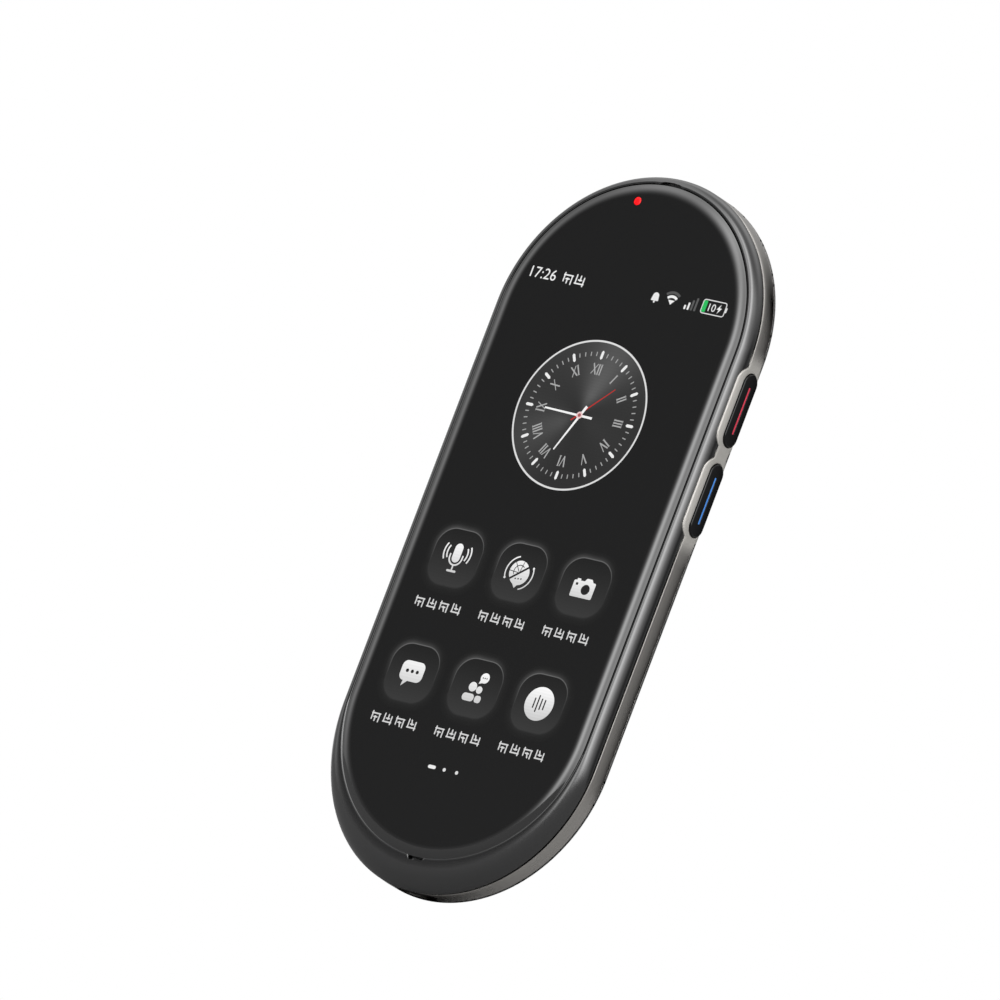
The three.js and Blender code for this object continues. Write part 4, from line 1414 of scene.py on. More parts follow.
@dataclass(frozen=True)
class GlintPaintedLens(Finish):
    """A dark lens with painted glints: its base colour turns from blue on one side to violet on the other,
    the tint of its coating's reflections.
    """

    centre_z: float = 31.9
    radius: float = 1.6
    # Colours of the painted reflection of the coating: blue on one side of the lens, violet on the other.
    blue: tuple = (0.03, 0.22, 1.0)
    violet_glint: tuple = (0.13, 0.02, 0.3)

    def surface(self, nodes: Nodes) -> bpy.types.Node:
        """Adds the lens shader: a near-black glass whose base colour is painted from blue to violet across
        it, as its coating's glints.

        Args:
            nodes: The material under construction.

        Returns:
            The Principled node.
        """
        shader = super().surface(nodes)
        parts = nodes.add("SeparateXYZ", Vector=nodes.place()).outputs
        height = nodes.math("SUBTRACT", parts[2], self.centre_z * MM)
        across, reach = nodes.math("SUBTRACT", parts[0], height), self.radius * MM
        share = nodes.add("MapRange", Value=across, From_Min=-reach, From_Max=reach).outputs[0]
        # Painted reflection: the base colour turns from blue to violet across the lens.
        nodes.feed(shader.inputs["Base Color"], nodes.blend(share, self.blue, self.violet_glint))
        return shader


@dataclass
class CameraUnit:
    """The rear camera: trim ring, window, stepped baffle and lens."""

    centre: Spot
    ring_radius: float = 5.1
    proud: float = 0.55
    bore: float = 4.12
    window_front: float = 0.25
    window_back: float = -0.15
    window_radius: float = 4.04
    lens_radius: float = 1.6

    def make_ring(self, finish: Finish) -> Piece:
        """Trim ring: a rounded outer edge, a flat land, a chamfer to the bore, and the window's seat.

        Args:
            finish: Its finish.

        Returns:
            The piece.
        """
        outer, top = self.ring_radius, self.proud
        rows = [(6.05, -2.05), (6.05, -1.45), (outer, -1.45), (outer, top - 0.3)]
        rows += arc_rows((outer - 0.3, top - 0.3), 0.3, 10, 90, 7)
        rows += [(self.bore + 0.16, top), (self.bore + 0.05, top - 0.04), (self.bore, top - 0.14)]
        rows += [(self.bore, self.window_back - 0.02), (3.5, self.window_back - 0.02), (3.5, -2.05)]
        return lathe(rows, self.centre, 128).make("camera_trim_ring", finish.build(), 30.0)

    def make_window(self, finish: Finish) -> Piece:
        """Window: a clear disc with a small bevel on both edges.

        Args:
            finish: Its finish.

        Returns:
            The piece.
        """
        radius, front, back = self.window_radius, self.window_front, self.window_back
        rows = [(0.0, front), (radius - 0.1, front), (radius, front - 0.08), (radius, back + 0.05)]
        rows += [(radius - 0.05, back), (0.0, back)]
        return lathe(rows, self.centre, 96).make("camera_clear_window", finish.build(), 25.0)

    def make_barrel(self, finish: Finish) -> Piece:
        """Barrel with a baffle of four steps down to the lens's seat.

        Args:
            finish: Its finish.

        Returns:
            The piece.
        """
        rows = [(0.0, -3.15), (2.9, -3.15), (2.9, -0.55), (2.8, -0.46), (2.55, -0.45)]
        radius, level = rows[-1]
        for drop in (0.1, 0.14, 0.12, 0.1):
            rows.append((radius - 0.05, level - drop))
            radius, level = radius - 0.22, level - drop - 0.02
            rows.append((radius, level))
        seat_radius = self.lens_radius + 0.03
        rows += [(seat_radius, level - 0.02), (seat_radius, level - 0.3), (0.0, level - 0.3)]
        return lathe(rows, self.centre, 96).make("camera_lens_barrel", finish.build(), 25.0)

    def make_lens(self, finish: Finish) -> Piece:
        """Front lens: a shallow dome, whose height falls with the square of the radius.

        Args:
            finish: Its finish.

        Returns:
            The piece.
        """
        radius = np.linspace(0.0, self.lens_radius, 22)
        height = -0.62 - 0.34 * (radius / self.lens_radius) ** 2
        rows = list(zip(radius, height)) + [(self.lens_radius, -1.2), (0.0, -1.2)]
        return lathe(rows, self.centre, 72).make("camera_front_lens", finish.build(), 35.0)


# Screen


def grey(level: float | Array) -> Array:
    """Linear light of 8-bit greys: the share plus 0.055, over 1.055, to the power 2.4."""
    share = (np.asarray(level, float)[..., None] / 255.0 + 0.055) / 1.055
    return np.repeat(share**2.4, 3, -1)


def rgb(red: float, green: float, blue: float) -> Array:
    """Linear light of an 8-bit colour."""
    return grey([red, green, blue])[:, 0]


def headings(local: Array) -> Array:
    """Directions of points from the origin, of length 1."""
    return local / np.maximum(np.hypot(local[:, 0], local[:, 1]), 1e-6)[:, None]


def rounded(half_width: float, half_height: float, corner: float, steps: int = 8) -> Array:
    """A rectangle with round corners: four quarter circles, each moved to its corner's centre.

    Args:
        half_width: Half its width.
        half_height: Half its height.
        corner: Radius of its corners.
        steps: Steps along each arc.

    Returns:
        The points.
    """
    quarter = np.linspace(0.0, math.pi / 2, steps + 1)
    angle = np.concatenate([quarter + k * math.pi / 2 for k in range(4)])
    sign_x = np.repeat([1, -1, -1, 1], steps + 1) * (half_width - corner)
    sign_y = np.repeat([1, 1, -1, -1], steps + 1) * (half_height - corner)
    return np.stack([sign_x + corner * np.cos(angle), sign_y + corner * np.sin(angle)], 1)


def capsule(start: tuple, end: tuple, radius: float, steps: int = 6) -> Array:
    """A stroke with round ends: half circles round both ends of a line.

    Args:
        start: Where it starts.
        end: Where it ends.
        radius: Its radius.
        steps: Steps along each arc.

    Returns:
        The points.
    """
    way = np.subtract(end, start)
    angle = math.atan2(way[1], way[0]) + np.linspace(-math.pi / 2, math.pi / 2, steps + 1)
    half = radius * np.stack([np.cos(angle), np.sin(angle)], 1)
    return np.concatenate([np.asarray(end) + half, np.asarray(start) - half])


def bow(centre: tuple, radius: float, start: float, end: float, half_width: float, steps: int = 14) -> Array:
    """A curved stroke: an arc at the radius plus and minus half its width, between two angles in degrees.

    Args:
        centre: Centre of its arc.
        radius: Its radius.
        start: Where it starts.
        end: Where it ends.
        half_width: Half its width.
        steps: Steps along each arc.

    Returns:
        The points.
    """
    angle = np.radians(np.linspace(start, end, steps + 1))
    ring = np.stack([np.cos(angle), np.sin(angle)], 1)
    outer, inner = ring * (radius + half_width), ring[::-1] * (radius - half_width)
    return np.asarray(centre) + np.concatenate([outer, inner])


@dataclass(frozen=True)
class LitImage:
    """The display's light, taken from a colour attribute, under the cover glass's gloss."""

    name: str
    roughness: float = 0.05
    specular: float = 1.0
    pixel: float = 0.09
    row_shade: float = 0.05

    def build(self) -> Material:
        """Makes the material: emission of the attribute's colour, a little uneven over fine pixel rows.

        Returns:
            The material.
        """
        nodes = Nodes(bpy.data.materials.new(self.name))
        light = nodes.add("Attribute", attribute_name="light").outputs[0]
        scale = 1.0 / (self.pixel * MM * 20.0)
        rows = nodes.add("TexWave", Vector=nodes.place(), Scale=scale, bands_direction="Z")
        shade = nodes.ramp(rows.outputs[1], 0.0, self.row_shade)
        shader = nodes.add(
            "BsdfPrincipled",
            Roughness=self.roughness,
            Base_Color=(0.002, 0.002, 0.002),
            Specular_IOR_Level=self.specular,
            Emission_Color=nodes.blend(shade, light, (0.0, 0.0, 0.0)),
            Emission_Strength=1.0,
        )
        return nodes.close(shader)


@dataclass
class Picture:
    """One part of the lit picture: thin closed plates on the glass, in dial radii from the dial's centre."""

    centre: Spot
    unit: float
    front: float
    step: float = 0.006
    floor: float = 33.0
    points: list = field(default_factory=list)
    faces: list = field(default_factory=list)
    colours: list = field(default_factory=list)
    count: int = 0

    def space(self, plane: Array, level: float) -> Array:
        """Turns dial coordinates into space at a level of the picture."""
        x = self.centre[0] + plane[:, 0] * self.unit
        z = self.centre[1] + plane[:, 1] * self.unit
        return np.stack([x, np.full(len(plane), self.front - level * self.step), z], 1)

    def shade(self, colour: object, plane: Array) -> Array:
        """Light of each point, from a colour or a function of the points, less what the glass shows."""
        value = colour(plane) if callable(colour) else np.broadcast_to(colour, (len(plane), 3))
        return np.clip(value - grey(self.floor), 0.0, None)

    def put(self, front: Array, faces: list, edges: list, level: float, colour: object) -> None:
        """Adds a thin closed plate.

        Args:
            front: Points of the front face in dial coordinates.
            faces: Its faces, as indices of these points.
            edges: Pairs of indices along its boundary.
            level: Height above the glass in steps.
            colour: As shade() takes it.
        """
        base, size = self.count, len(front)
        self.points += [self.space(front, level), self.space(front, -2.0)]
        self.colours += [self.shade(colour, front)] * 2
        self.faces += [[i + base for i in face] for face in faces]
        self.faces += [[i + base + size for i in face[::-1]] for face in faces]
        self.faces += [[a + base, b + base, b + base + size, a + base + size] for a, b in edges]
        self.count += 2 * size

    def plate(self, loop: Array, level: float, colour: object) -> None:
        """Adds a plate inside a closed loop."""
        plane, faces, at = triangulated([loop])
        self.put(plane, faces.tolist(), closed_edges(at[0]), level, colour)

    def ring(self, rings: Array, level: float, colour: object) -> None:
        """Adds a ring given as loops of equal length, from one side to the other.

        Args:
            rings: Loops by points by 2.
            level: Height above the glass in steps.
            colour: As shade() takes it.
        """
        index = np.arange(rings.shape[0] * rings.shape[1]).reshape(rings.shape[:2])
        after = np.roll(index, -1, 1)
        quads = np.stack([index[:-1], after[:-1], after[1:], index[1:]], -1).reshape(-1, 4)
        edges = closed_edges(index[0].tolist()) + closed_edges(index[-1].tolist())
        self.put(rings.reshape(-1, 2), quads.tolist(), edges, level, colour)

    def text(self, words: str, left: Spot, height: float, level: float, colour: object) -> None:
        """Adds plain figures, as the mesh of a flat text in the built-in font.

        Args:
            words: The figures.
            left: Dial coordinates of the baseline's start.
            height: Height of a figure in dial radii.
            level: Height above the glass in steps.
            colour: As shade() takes it.
        """
        curve = bpy.data.curves.new("figures", "FONT")
        curve.body = words
        curve.size = 1.0
        curve.resolution_u = 3
        holder = bpy.data.objects.new("figures", curve)
        mesh = bpy.data.meshes.new_from_object(holder)
        corners = np.zeros(len(mesh.vertices) * 3)
        mesh.vertices.foreach_get("co", corners)
        faces = [list(p.vertices) for p in mesh.polygons]
        bpy.data.objects.remove(holder)
        bpy.data.meshes.remove(mesh)
        bpy.data.curves.remove(curve)
        figure_height = 0.73
        edges = {edge for face in faces for edge in closed_edges(face)}
        rim = sorted(edge for edge in edges if edge[::-1] not in edges)
        self.put(corners.reshape(-1, 3)[:, :2] * height / figure_height + left, faces, rim, level, colour)

    def make(self, name: str, material: Material) -> Piece:
        """Makes the object, with each point's light as an attribute.

        Args:
            name: The piece's name.
            material: Its finish.

        Returns:
            The piece.
        """
        mesh = bpy.data.meshes.new(name)
        mesh.from_pydata((np.concatenate(self.points) * MM).tolist(), [], self.faces)
        colours = np.concatenate(self.colours)
        light = mesh.attributes.new("light", "FLOAT_COLOR", "POINT")
        light.data.foreach_set("color", np.insert(colours, 3, 1.0, axis=1).ravel())
        turn_outwards(mesh)
        return placed(name, mesh, material)


WHITE = grey(250)
DARK = grey(40)


@dataclass
class ScreenImage:
    """The home page on the display: status row, clock, six tiles with signs, and page marks."""

    centre: Spot
    unit: float
    front: float
    radius: float = 1.226
    tile_half: float = 0.47
    tile_corner: float = 0.33
    tile_columns: tuple = (-1.29, 0.0, 1.29)
    tile_rows: tuple = (-2.645, -4.575)
    label_drop: float = 0.79
    mark_pitch: float = 0.245
    page_height: float = -5.93

    def picture(self) -> Picture:
        """An empty part of the picture."""
        return Picture(self.centre, self.unit, self.front)

    def dial_light(self, plane: Array) -> Array:
        """Light of the clock face: a dark grey with two pale fans, at one and at eight o'clock.

        Each fan is a bell curve of the angle from its middle, times a curve of the radius that rises
        from the hub and falls towards the rim.

        Args:
            plane: The points.

        Returns:
            Their light.
        """
        radius = np.hypot(plane[:, 0], plane[:, 1]) / self.radius
        clock = np.degrees(np.arctan2(plane[:, 0], plane[:, 1]))
        level = 49.0 + 10.0 * smooth_step((plane[:, 1] + 0.2) / 1.2)
        rise = np.clip(radius * 4.0, 0.0, 1.0) * (1.1 - 0.55 * radius)
        for middle, width, gain in ((14.0, 28.0, 44.0), (-118.0, 32.0, 32.0), (110.0, 30.0, 6.0)):
            turn = (clock - middle + 180.0) % 360.0 - 180.0
            level += gain * np.exp(-((turn / width) ** 2)) * rise
        return grey(level)

    def make_dial(self, material: Material) -> Piece:
        """Clock face with its rim, hour bars and minute ticks.

        Args:
            material: Its finish.

        Returns:
            The piece.
        """
        part = self.picture()
        radii = np.linspace(0.03, 1.0, 12) * self.radius
        part.ring(np.array([circle(r, 120) for r in radii]), 0.5, self.dial_light)
        part.plate(circle(radii[0], 120), 0.5, self.dial_light)
        part.ring(np.array([circle(self.radius + out, 160) for out in (-0.012, 0.018)]), 1.5, grey(225))
        for minute in range(60):
            angle = math.radians(minute * 6.0)
            out = np.array([math.sin(angle), math.cos(angle)])
            hour = minute % 5 == 0
            first, last, half, level = (0.955, 1.06, 0.024, 240) if hour else (0.985, 1.045, 0.009, 165)
            part.plate(capsule(out * first, out * last, half, 2), 1.5, grey(level))
        return part.make("clock_dial", material)

    def make_numerals(self, material: Material) -> Piece:
        """Roman numerals: strokes of three letters, set with their feet towards the hub.

        Args:
            material: Its finish.

        Returns:
            The piece.
        """
        widths = {"I": 0.045, "V": 0.11, "X": 0.11}
        strokes = {
            "I": [((0.0, 0.0), (0.0, 1.0), 1.0)],
            "V": [((-0.5, 1.0), (0.0, 0.0), 1.0), ((0.5, 1.0), (0.0, 0.0), 0.6)],
            "X": [((-0.5, 1.0), (0.5, 0.0), 1.0), ((0.5, 1.0), (-0.5, 0.0), 0.6)],
        }
        names = ("I", "II", "III", "IV", "V", "VI", "VII", "VIII", "IX", "X", "XI", "XII")
        foot, height, thick, reach, serif = 0.69, 0.165, 0.0115, 0.085, 0.016
        part = self.picture()
        for hour, name in enumerate(names, start=1):
            angle = math.radians(hour * 30.0)
            out = np.array([math.sin(angle), math.cos(angle)])
            side = np.array([math.cos(angle), -math.sin(angle)])
            at = -sum(widths[letter] for letter in name) / 2
            for letter in name:
                middle = side * (at + widths[letter] / 2)
                at += widths[letter]
                for start, end, weight in strokes[letter]:
                    ends = [middle + side * p[0] * reach + out * (foot + p[1] * height) for p in (start, end)]
                    part.plate(capsule(ends[0], ends[1], thick * weight, 2), 1.5, grey(172))
                for level in (foot, foot + height) if letter == "I" else ():
                    ends = [middle + out * level + side * end for end in (-serif, serif)]
                    part.plate(capsule(ends[0], ends[1], thick * 0.5, 2), 1.7, grey(150))
        return part.make("clock_numerals", material)

    def make_hands(self, material: Material) -> Piece:
        """Clock hands: two tapered white ones, a thin red one, and the hub's ring.

        Args:
            material: Its finish.

        Returns:
            The piece.
        """
        part = self.picture()
        hands = (
            ((-0.70, 0.006), (0.255, -0.011), 0.014, 0.019, WHITE, 3.0),
            ((-0.243, -0.618), (0.082, 0.16), 0.011, 0.024, WHITE, 3.6),
            ((0.49, 0.517), (-0.128, -0.105), 0.008, 0.012, rgb(190, 50, 48), 2.4),
        )
        for tip, tail, thin, thick, colour, level in hands:
            way = np.subtract(tip, tail)
            side = np.array([-way[1], way[0]]) / np.hypot(*way)
            corners = [tip + side * thin, tail + side * thick, tail - side * thick, tip - side * thin]
            part.plate(np.array(corners), level, colour)
        part.plate(circle(0.058, 28), 4.2, rgb(238, 205, 205))
        part.plate(circle(0.03, 20), 5.0, rgb(170, 95, 95))
        return part.make("clock_hands", material)

    def tile_light(self, centre: Spot, plane: Array) -> Array:
        """Light of a tile, which grows from its upper to its lower edge."""
        return grey(35.0 + 24.0 * np.clip(0.5 - (plane[:, 1] - centre[1]) / self.tile_half * 0.5, 0.0, 1.0))

    def halo_light(self, centre: Spot, plane: Array) -> Array:
        """Light round a tile, which falls off with the distance from its edge and is strongest above it.

        Args:
            centre: The tile's centre.
            plane: The points.

        Returns:
            Their light.
        """
        local = plane - centre
        away = np.clip(np.abs(local) - (self.tile_half - self.tile_corner), 0.0, None)
        out = np.clip(np.hypot(away[:, 0], away[:, 1]) - self.tile_corner, 0.0, None)
        strength = np.clip(headings(local) @ np.array([-0.35, 0.95]), 0.0, 1.0) * 0.85 + 0.06
        glow = 44.0 * strength * np.exp(-((out / 0.055) ** 2)) + 9.0 * np.exp(-out / 0.05) * (strength < 0.1)
        return grey(33.0 + glow)

    def line_light(self, centre: Spot, plane: Array) -> Array:
        """Light of the thin line round a tile: pale at the upper edge and dark below."""
        upward = headings(plane - centre) @ np.array([-0.12, 0.99])
        return grey(50.0 + 52.0 * smooth_step((upward + 0.15) / 1.1))

    def sign_light(self, centre: Spot, plane: Array) -> Array:
        """Light of a sign: white above, a little greyer below."""
        return grey(205.0 + 48.0 * np.clip((plane[:, 1] - centre[1]) / 0.5 + 0.5, 0.0, 1.0))

    def make_tiles(self, material: Material) -> Piece:
        """Six tiles with round corners, each with a halo of light and a thin line at its upper edge.

        Args:
            material: Its finish.

        Returns:
            The piece.
        """
        part = self.picture()
        half, corner = self.tile_half, self.tile_corner
        for centre in self.tile_centres():
            face = partial(self.tile_light, centre)
            inner = [rounded(half * s, half * s, corner * s, 10) + centre for s in (0.25, 0.6, 0.85, 1.0)]
            part.ring(self.grown(centre, 0.0, 0.02, 0.045, 0.08, 0.13), 0.3, partial(self.halo_light, centre))
            part.ring(np.array(inner), 0.5, face)
            part.plate(inner[0], 0.5, face)
            part.ring(self.grown(centre, -0.008, 0.008), 1.2, partial(self.line_light, centre))
        return part.make("screen_tiles", material)

    def grown(self, centre: Spot, *grows: float) -> Array:
        """Outlines of a tile, each grown all round."""
        half, corner = self.tile_half, self.tile_corner
        return np.array([rounded(half + grow, half + grow, corner + grow, 10) + centre for grow in grows])

    def tile_centres(self) -> list[Spot]:
        """Centres of the six tiles."""
        return [(a, b) for b in self.tile_rows for a in self.tile_columns]

    def make_signs(self, material: Material) -> Piece:
        """Signs on the tiles: microphone, half globe with a bubble, camera, bubble, group and sound wave.

        Args:
            material: Its finish.

        Returns:
            The piece.
        """
        part = self.picture()
        makers = (self.microphone, self.globe, self.photo, self.bubble, self.group, self.wave)
        for centre, maker in zip(self.tile_centres(), makers):
            white, dark = maker()
            for loop in white:
                part.plate(loop + centre, 2.0, partial(self.sign_light, centre))
            for loop in dark:
                part.plate(loop + centre, 3.2, DARK)
        return part.make("screen_signs", material)

    @staticmethod
    def microphone() -> tuple[list, list]:
        """Microphone on its stand, with two waves on each side.

        Returns:
            The white loops and the dark ones.
        """
        white = [capsule((0.0, 0.165), (0.0, 0.005), 0.078, 10), bow((0.0, 0.01), 0.125, 180, 360, 0.014)]
        white += [capsule((x, 0.01), (x, 0.05), 0.014) for x in (-0.125, 0.125)]
        white.append(capsule((0.0, -0.12), (0.0, -0.2), 0.014))
        white.append(capsule((-0.075, -0.215), (0.075, -0.215), 0.018))
        for radius in (0.2, 0.265):
            white += [bow((0.0, 0.085), radius, start, start + 60, 0.013) for start in (-30, 150)]
        return white, []

    @staticmethod
    def globe() -> tuple[list, list]:
        """Half globe over a speech bubble, split by a slanted gap, between the arcs of two arrows.

        Returns:
            The white loops and the dark ones.
        """
        cut = math.radians(38.0)
        along = np.array([math.cos(cut), math.sin(cut)])
        across = np.array([-math.sin(cut), math.cos(cut)])
        angle = np.linspace(0.0, math.pi, 17)
        half = np.stack([np.cos(angle), np.sin(angle)], 1) * 0.185
        upper = half[:, :1] * along + half[:, 1:] * across + across * 0.018
        white = [upper, -upper, np.array([(0.06, -0.17), (-0.06, -0.185), (0.0, -0.25)])]
        white += [bow((0.0, 0.0), 0.27, 108, 205, 0.011), bow((0.0, 0.0), 0.27, -72, 25, 0.011)]
        white += [circle(0.02, 12, (-0.245, -0.115)), circle(0.02, 12, (0.245, 0.115))]
        dark = [circle(0.014, 10, (x, -0.095 + x * 0.1)) for x in (-0.035, 0.02, 0.075)]
        dark.append(bow((-0.01, 0.02), 0.105, 48, 212, 0.007))
        for turn in np.radians([80.0, 128.0, 176.0]):
            heading = np.array([math.cos(turn), math.sin(turn)])
            dark.append(capsule(heading * 0.03, heading * 0.2, 0.006, 2))
        return white, dark

    @staticmethod
    def photo() -> tuple[list, list]:
        """Camera with its finder hump, lens ring and a small window.

        Returns:
            The white loops and the dark ones.
        """
        body = rounded(0.215, 0.135, 0.025, 3) + (0.0, -0.03)
        hump = np.array([(-0.02, 0.1), (0.02, 0.155), (0.12, 0.155), (0.16, 0.1)])
        knob = rounded(0.035, 0.02, 0.01, 2) + (-0.13, 0.115)
        dark = [circle(0.083, 28, (0.05, -0.025)), rounded(0.022, 0.02, 0.006, 2) + (-0.145, 0.045)]
        return [body, hump, knob], dark

    @staticmethod
    def bubble() -> tuple[list, list]:
        """Speech bubble with three dots."""
        body = rounded(0.225, 0.165, 0.1, 6) + (0.0, 0.03)
        tail = np.array([(-0.12, -0.12), (-0.02, -0.12), (-0.13, -0.23)])
        return [body, tail], [circle(0.03, 16, (x, 0.03)) for x in (-0.1, 0.0, 0.1)]

    @staticmethod
    def group() -> tuple[list, list]:
        """Two people side by side under a small speech bubble.

        Returns:
            The white loops and the dark ones.
        """
        white = [circle(0.078, 24, (-0.055, 0.02)), circle(0.06, 22, (0.085, -0.01))]
        white.append(rounded(0.115, 0.062, 0.055, 4) + (-0.08, -0.155))
        white.append(rounded(0.062, 0.058, 0.045, 4) + (0.115, -0.16))
        white += [circle(0.085, 26, (0.115, 0.19)), np.array([(0.04, 0.14), (0.1, 0.11), (0.03, 0.085)])]
        return white, [circle(0.012, 10, (x, 0.19)) for x in (0.078, 0.115, 0.152)]

    @staticmethod
    def wave() -> tuple[list, list]:
        """Disc with four bars of a sound wave."""
        bars = ((-0.1, 0.075), (-0.033, 0.13), (0.033, 0.085), (0.1, 0.075))
        return [circle(0.275, 48)], [capsule((x, -h), (x, h), 0.0125, 3) for x, h in bars]

    @staticmethod
    def block(part: Picture, spot: Spot, half: float, kind: int, colour: Array) -> None:
        """Adds a small mark of five thin strokes in place of writing.

        Args:
            part: The part of the picture.
            spot: The mark's middle.
            half: Half its width and height.
            kind: Odd marks stand on their open side.
            colour: Its light.
        """
        flip = 1.0 if kind % 2 else -1.0
        strokes = (((-0.8, -0.95), (-0.8, 0.55)), ((0.8, -0.6), (0.8, 0.9)), ((-0.95, 0.55), (0.95, 0.55)))
        strokes += (((-0.35, -0.1), (0.4, -0.1)), ((0.05 - 0.3 * (kind > 1), -0.85), (0.05, 0.05)))
        for stroke in strokes:
            ends = np.array(stroke) * (flip, -flip) * half + spot
            part.plate(capsule(ends[0], ends[1], 0.0115, 2), 2.0, colour)

    def make_captions(self, material: Material) -> Piece:
        """Captions under the tiles as rows of plain marks, and the page marks.

        Args:
            material: Its finish.

        Returns:
            The piece.
        """
        part = self.picture()
        for a, b in self.tile_centres():
            for number in range(4):
                spot = (a + (number - 1.5) * self.mark_pitch, b - self.label_drop)
                self.block(part, spot, 0.088, number, grey(215))
        part.plate(capsule((-0.3, self.page_height), (-0.2, self.page_height), 0.028, 4), 2.0, grey(240))
        for a in (0.0, 0.25):
            part.plate(circle(0.03, 16, (a, self.page_height)), 2.0, grey(225))
        return part.make("screen_captions", material)

    def make_status(self, material: Material) -> Piece:
        """Status row: the time in figures, a bell, a radio fan, signal bars and a battery with its charge.

        Args:
            material: Its finish.

        Returns:
            The piece.
        """
        part = self.picture()
        part.text("17:26", (-1.985, 2.0), 0.187, 2.0, grey(240))
        for kind, left in enumerate((-1.19, -0.95)):
            self.block(part, (left, 2.09), 0.095, kind, grey(235))
        bell = np.concatenate([bow((0.58, 2.11), 0.03, 0, 180, 0.03, 10)[:11], [(0.51, 2.05), (0.65, 2.05)]])
        part.plate(bell, 2.0, grey(235))
        part.plate(capsule((0.52, 2.045), (0.64, 2.045), 0.012, 3), 2.2, grey(235))
        part.plate(circle(0.018, 12, (0.58, 2.015)), 2.0, grey(235))
        fan = (0.9, 2.02)
        part.plate(bow(fan, 0.2, 50, 130, 0.022), 2.0, grey(88))
        part.plate(bow(fan, 0.135, 48, 132, 0.022), 2.0, grey(240))
        part.plate(np.array([(0.0, 0.0), (0.066, 0.075), (-0.066, 0.075)]) + fan, 2.0, grey(240))
        for number, height in enumerate((0.07, 0.12, 0.17, 0.215)):
            bar = rounded(0.018, height / 2, 0.008, 2) + (1.19 + number * 0.066, 2.0 + height / 2)
            part.plate(bar, 2.0, grey(235 if number < 2 else 92))
        battery, middle = (0.235, 0.12, 0.045), (1.735, 2.115)
        shell = [rounded(*np.subtract(battery, draw), 5) + middle for draw in (0.016, 0.0)]
        part.ring(np.array(shell), 2.0, grey(228))
        part.plate(rounded(0.012, 0.04, 0.006, 2) + (1.985, middle[1]), 2.0, grey(228))
        part.plate(rounded(0.04, 0.095, 0.02, 3) + (1.55, middle[1]), 2.0, rgb(48, 190, 96))
        part.text("10", (1.6, 2.052), 0.13, 3.0, grey(235))
        bolt = [(1.86, 2.19), (1.8, 2.1), (1.84, 2.1), (1.825, 2.035), (1.895, 2.13), (1.85, 2.13)]
        part.plate(np.array(bolt), 2.0, grey(240))
        return part.make("screen_status_row", material)


# Finishes of this device

GLOSS = {"specular": 1.0, "grain_depth": 0.0}
STEEL = {"metallic": 1.0}
LIGHT = {"specular": 0.2, "glow": 0.55}
FINE = {"grain_roughness": 0.03, "grain_depth": 0.001}
PAINT = {"specular": 1.0, "grain_roughness": 0.02, "grain_depth": 0.001}
ALONG = {"grain_stretch": (1.0, 1.0, 0.12)}
FOIL = {"grain_scale": 300.0, "grain_depth": 0.03}
FINISHES = {
    "screen_glass": Finish(
        "cover_glass_black", (0.0015, 0.0015, 0.0016), 0.05, grain_roughness=0.01, **GLOSS
    ),
    "screen_panel": Finish("panel_black", (0.02, 0.02, 0.021), 0.3),
    "ribbon_film": Finish("ribbon_amber", (0.3, 0.16, 0.04), 0.35, coat=0.3),
    "bezel_metal": Finish("bezel_dark_paint", (0.004, 0.004, 0.0042), 0.16, **PAINT),
    "rail_metal": RailFinish("rail_satin_metal", (0.42, 0.405, 0.385), 0.28, **ALONG, **STEEL),
    "cover_metal": CoverFinish("cover_satin_paint", (0.4, 0.4, 0.4), 0.22, metallic=0.85, grain_scale=2600.0),
    "plate_steel": Finish("plate_sheet", (0.4, 0.41, 0.42), 0.35, grain_stretch=(0.1, 1.0, 1.0), **STEEL),
    "status_red": Finish("status_red_light", (0.6, 0.002, 0.004), 0.3, specular=0.2, glow=0.75),
    "camera_trim": Finish("trim_gloss_black", (0.003, 0.003, 0.0035), 0.12, **FINE),
    "module_black": Finish("moulded_black", (0.02, 0.02, 0.021), 0.55),
    "key_black": Finish("key_gloss_black", (0.002, 0.002, 0.0025), 0.2, specular=0.3, **FINE),
    "sign_pale": Finish("sign_pale_paint", (0.75, 0.3, 0.28), 0.4),
    "line_red": Finish("line_red_light", (0.42, 0.035, 0.06), 0.35, **LIGHT),
    "line_blue": Finish("line_blue_light", (0.05, 0.17, 0.46), 0.35, **LIGHT),
    "key_red": Finish("key_red_anodised", (0.85, 0.055, 0.06), 0.32, metallic=0.1, coat=0.3),
    "switch_steel": Finish("switch_shell", (0.5, 0.5, 0.5), 0.35, **STEEL),
    "circuit_board": Finish("board_green", (0.012, 0.07, 0.035), 0.35, coat=0.4),
    "shield_steel": Finish("shield_tin", (0.5, 0.51, 0.52), 0.4, **STEEL),
    "cell_foil": Finish("cell_pouch", (0.48, 0.5, 0.52), 0.45, metallic=0.8, **FOIL),
    "mesh_cloth": Finish("speaker_cloth", (0.003, 0.003, 0.003), 0.8, grain_scale=5000.0, grain_depth=0.03),
    "usb_steel": Finish("socket_steel", (0.55, 0.55, 0.56), 0.3, grain_stretch=(1.0, 1.0, 0.1), **STEEL),
    "screw_steel": Finish("screw_metal", (0.5, 0.5, 0.5), 0.3, **STEEL),
    "lens_black": Finish("barrel_black", (0.002, 0.002, 0.0025), 0.4, specular=0.25),
}
LENS = GlintPaintedLens("lens_painted_glints", (0.01, 0.02, 0.08), 0.06, coat=1.0, coat_roughness=0.03, **GLOSS)


@dataclass(frozen=True)
class ClearGlass:
    """Clear glass for the lens window, whose low index stands for its coating against glare."""

    name: str
    roughness: float = 0.01
    smear: float = 0.015
    index: float = 1.2

    def build(self) -> Material:
        """Makes the material, with faint smears in its roughness.

        Returns:
            The material.
        """
        nodes = Nodes(bpy.data.materials.new(self.name))
        smears = nodes.ramp(nodes.noise(500.0), self.roughness, self.roughness + self.smear)
        shader = nodes.add("BsdfPrincipled", Roughness=smears, IOR=self.index, Base_Color=(0.95, 0.97, 1.0))
        nodes.feed(shader.inputs["Transmission Weight"], 1.0)
        return nodes.close(shader)


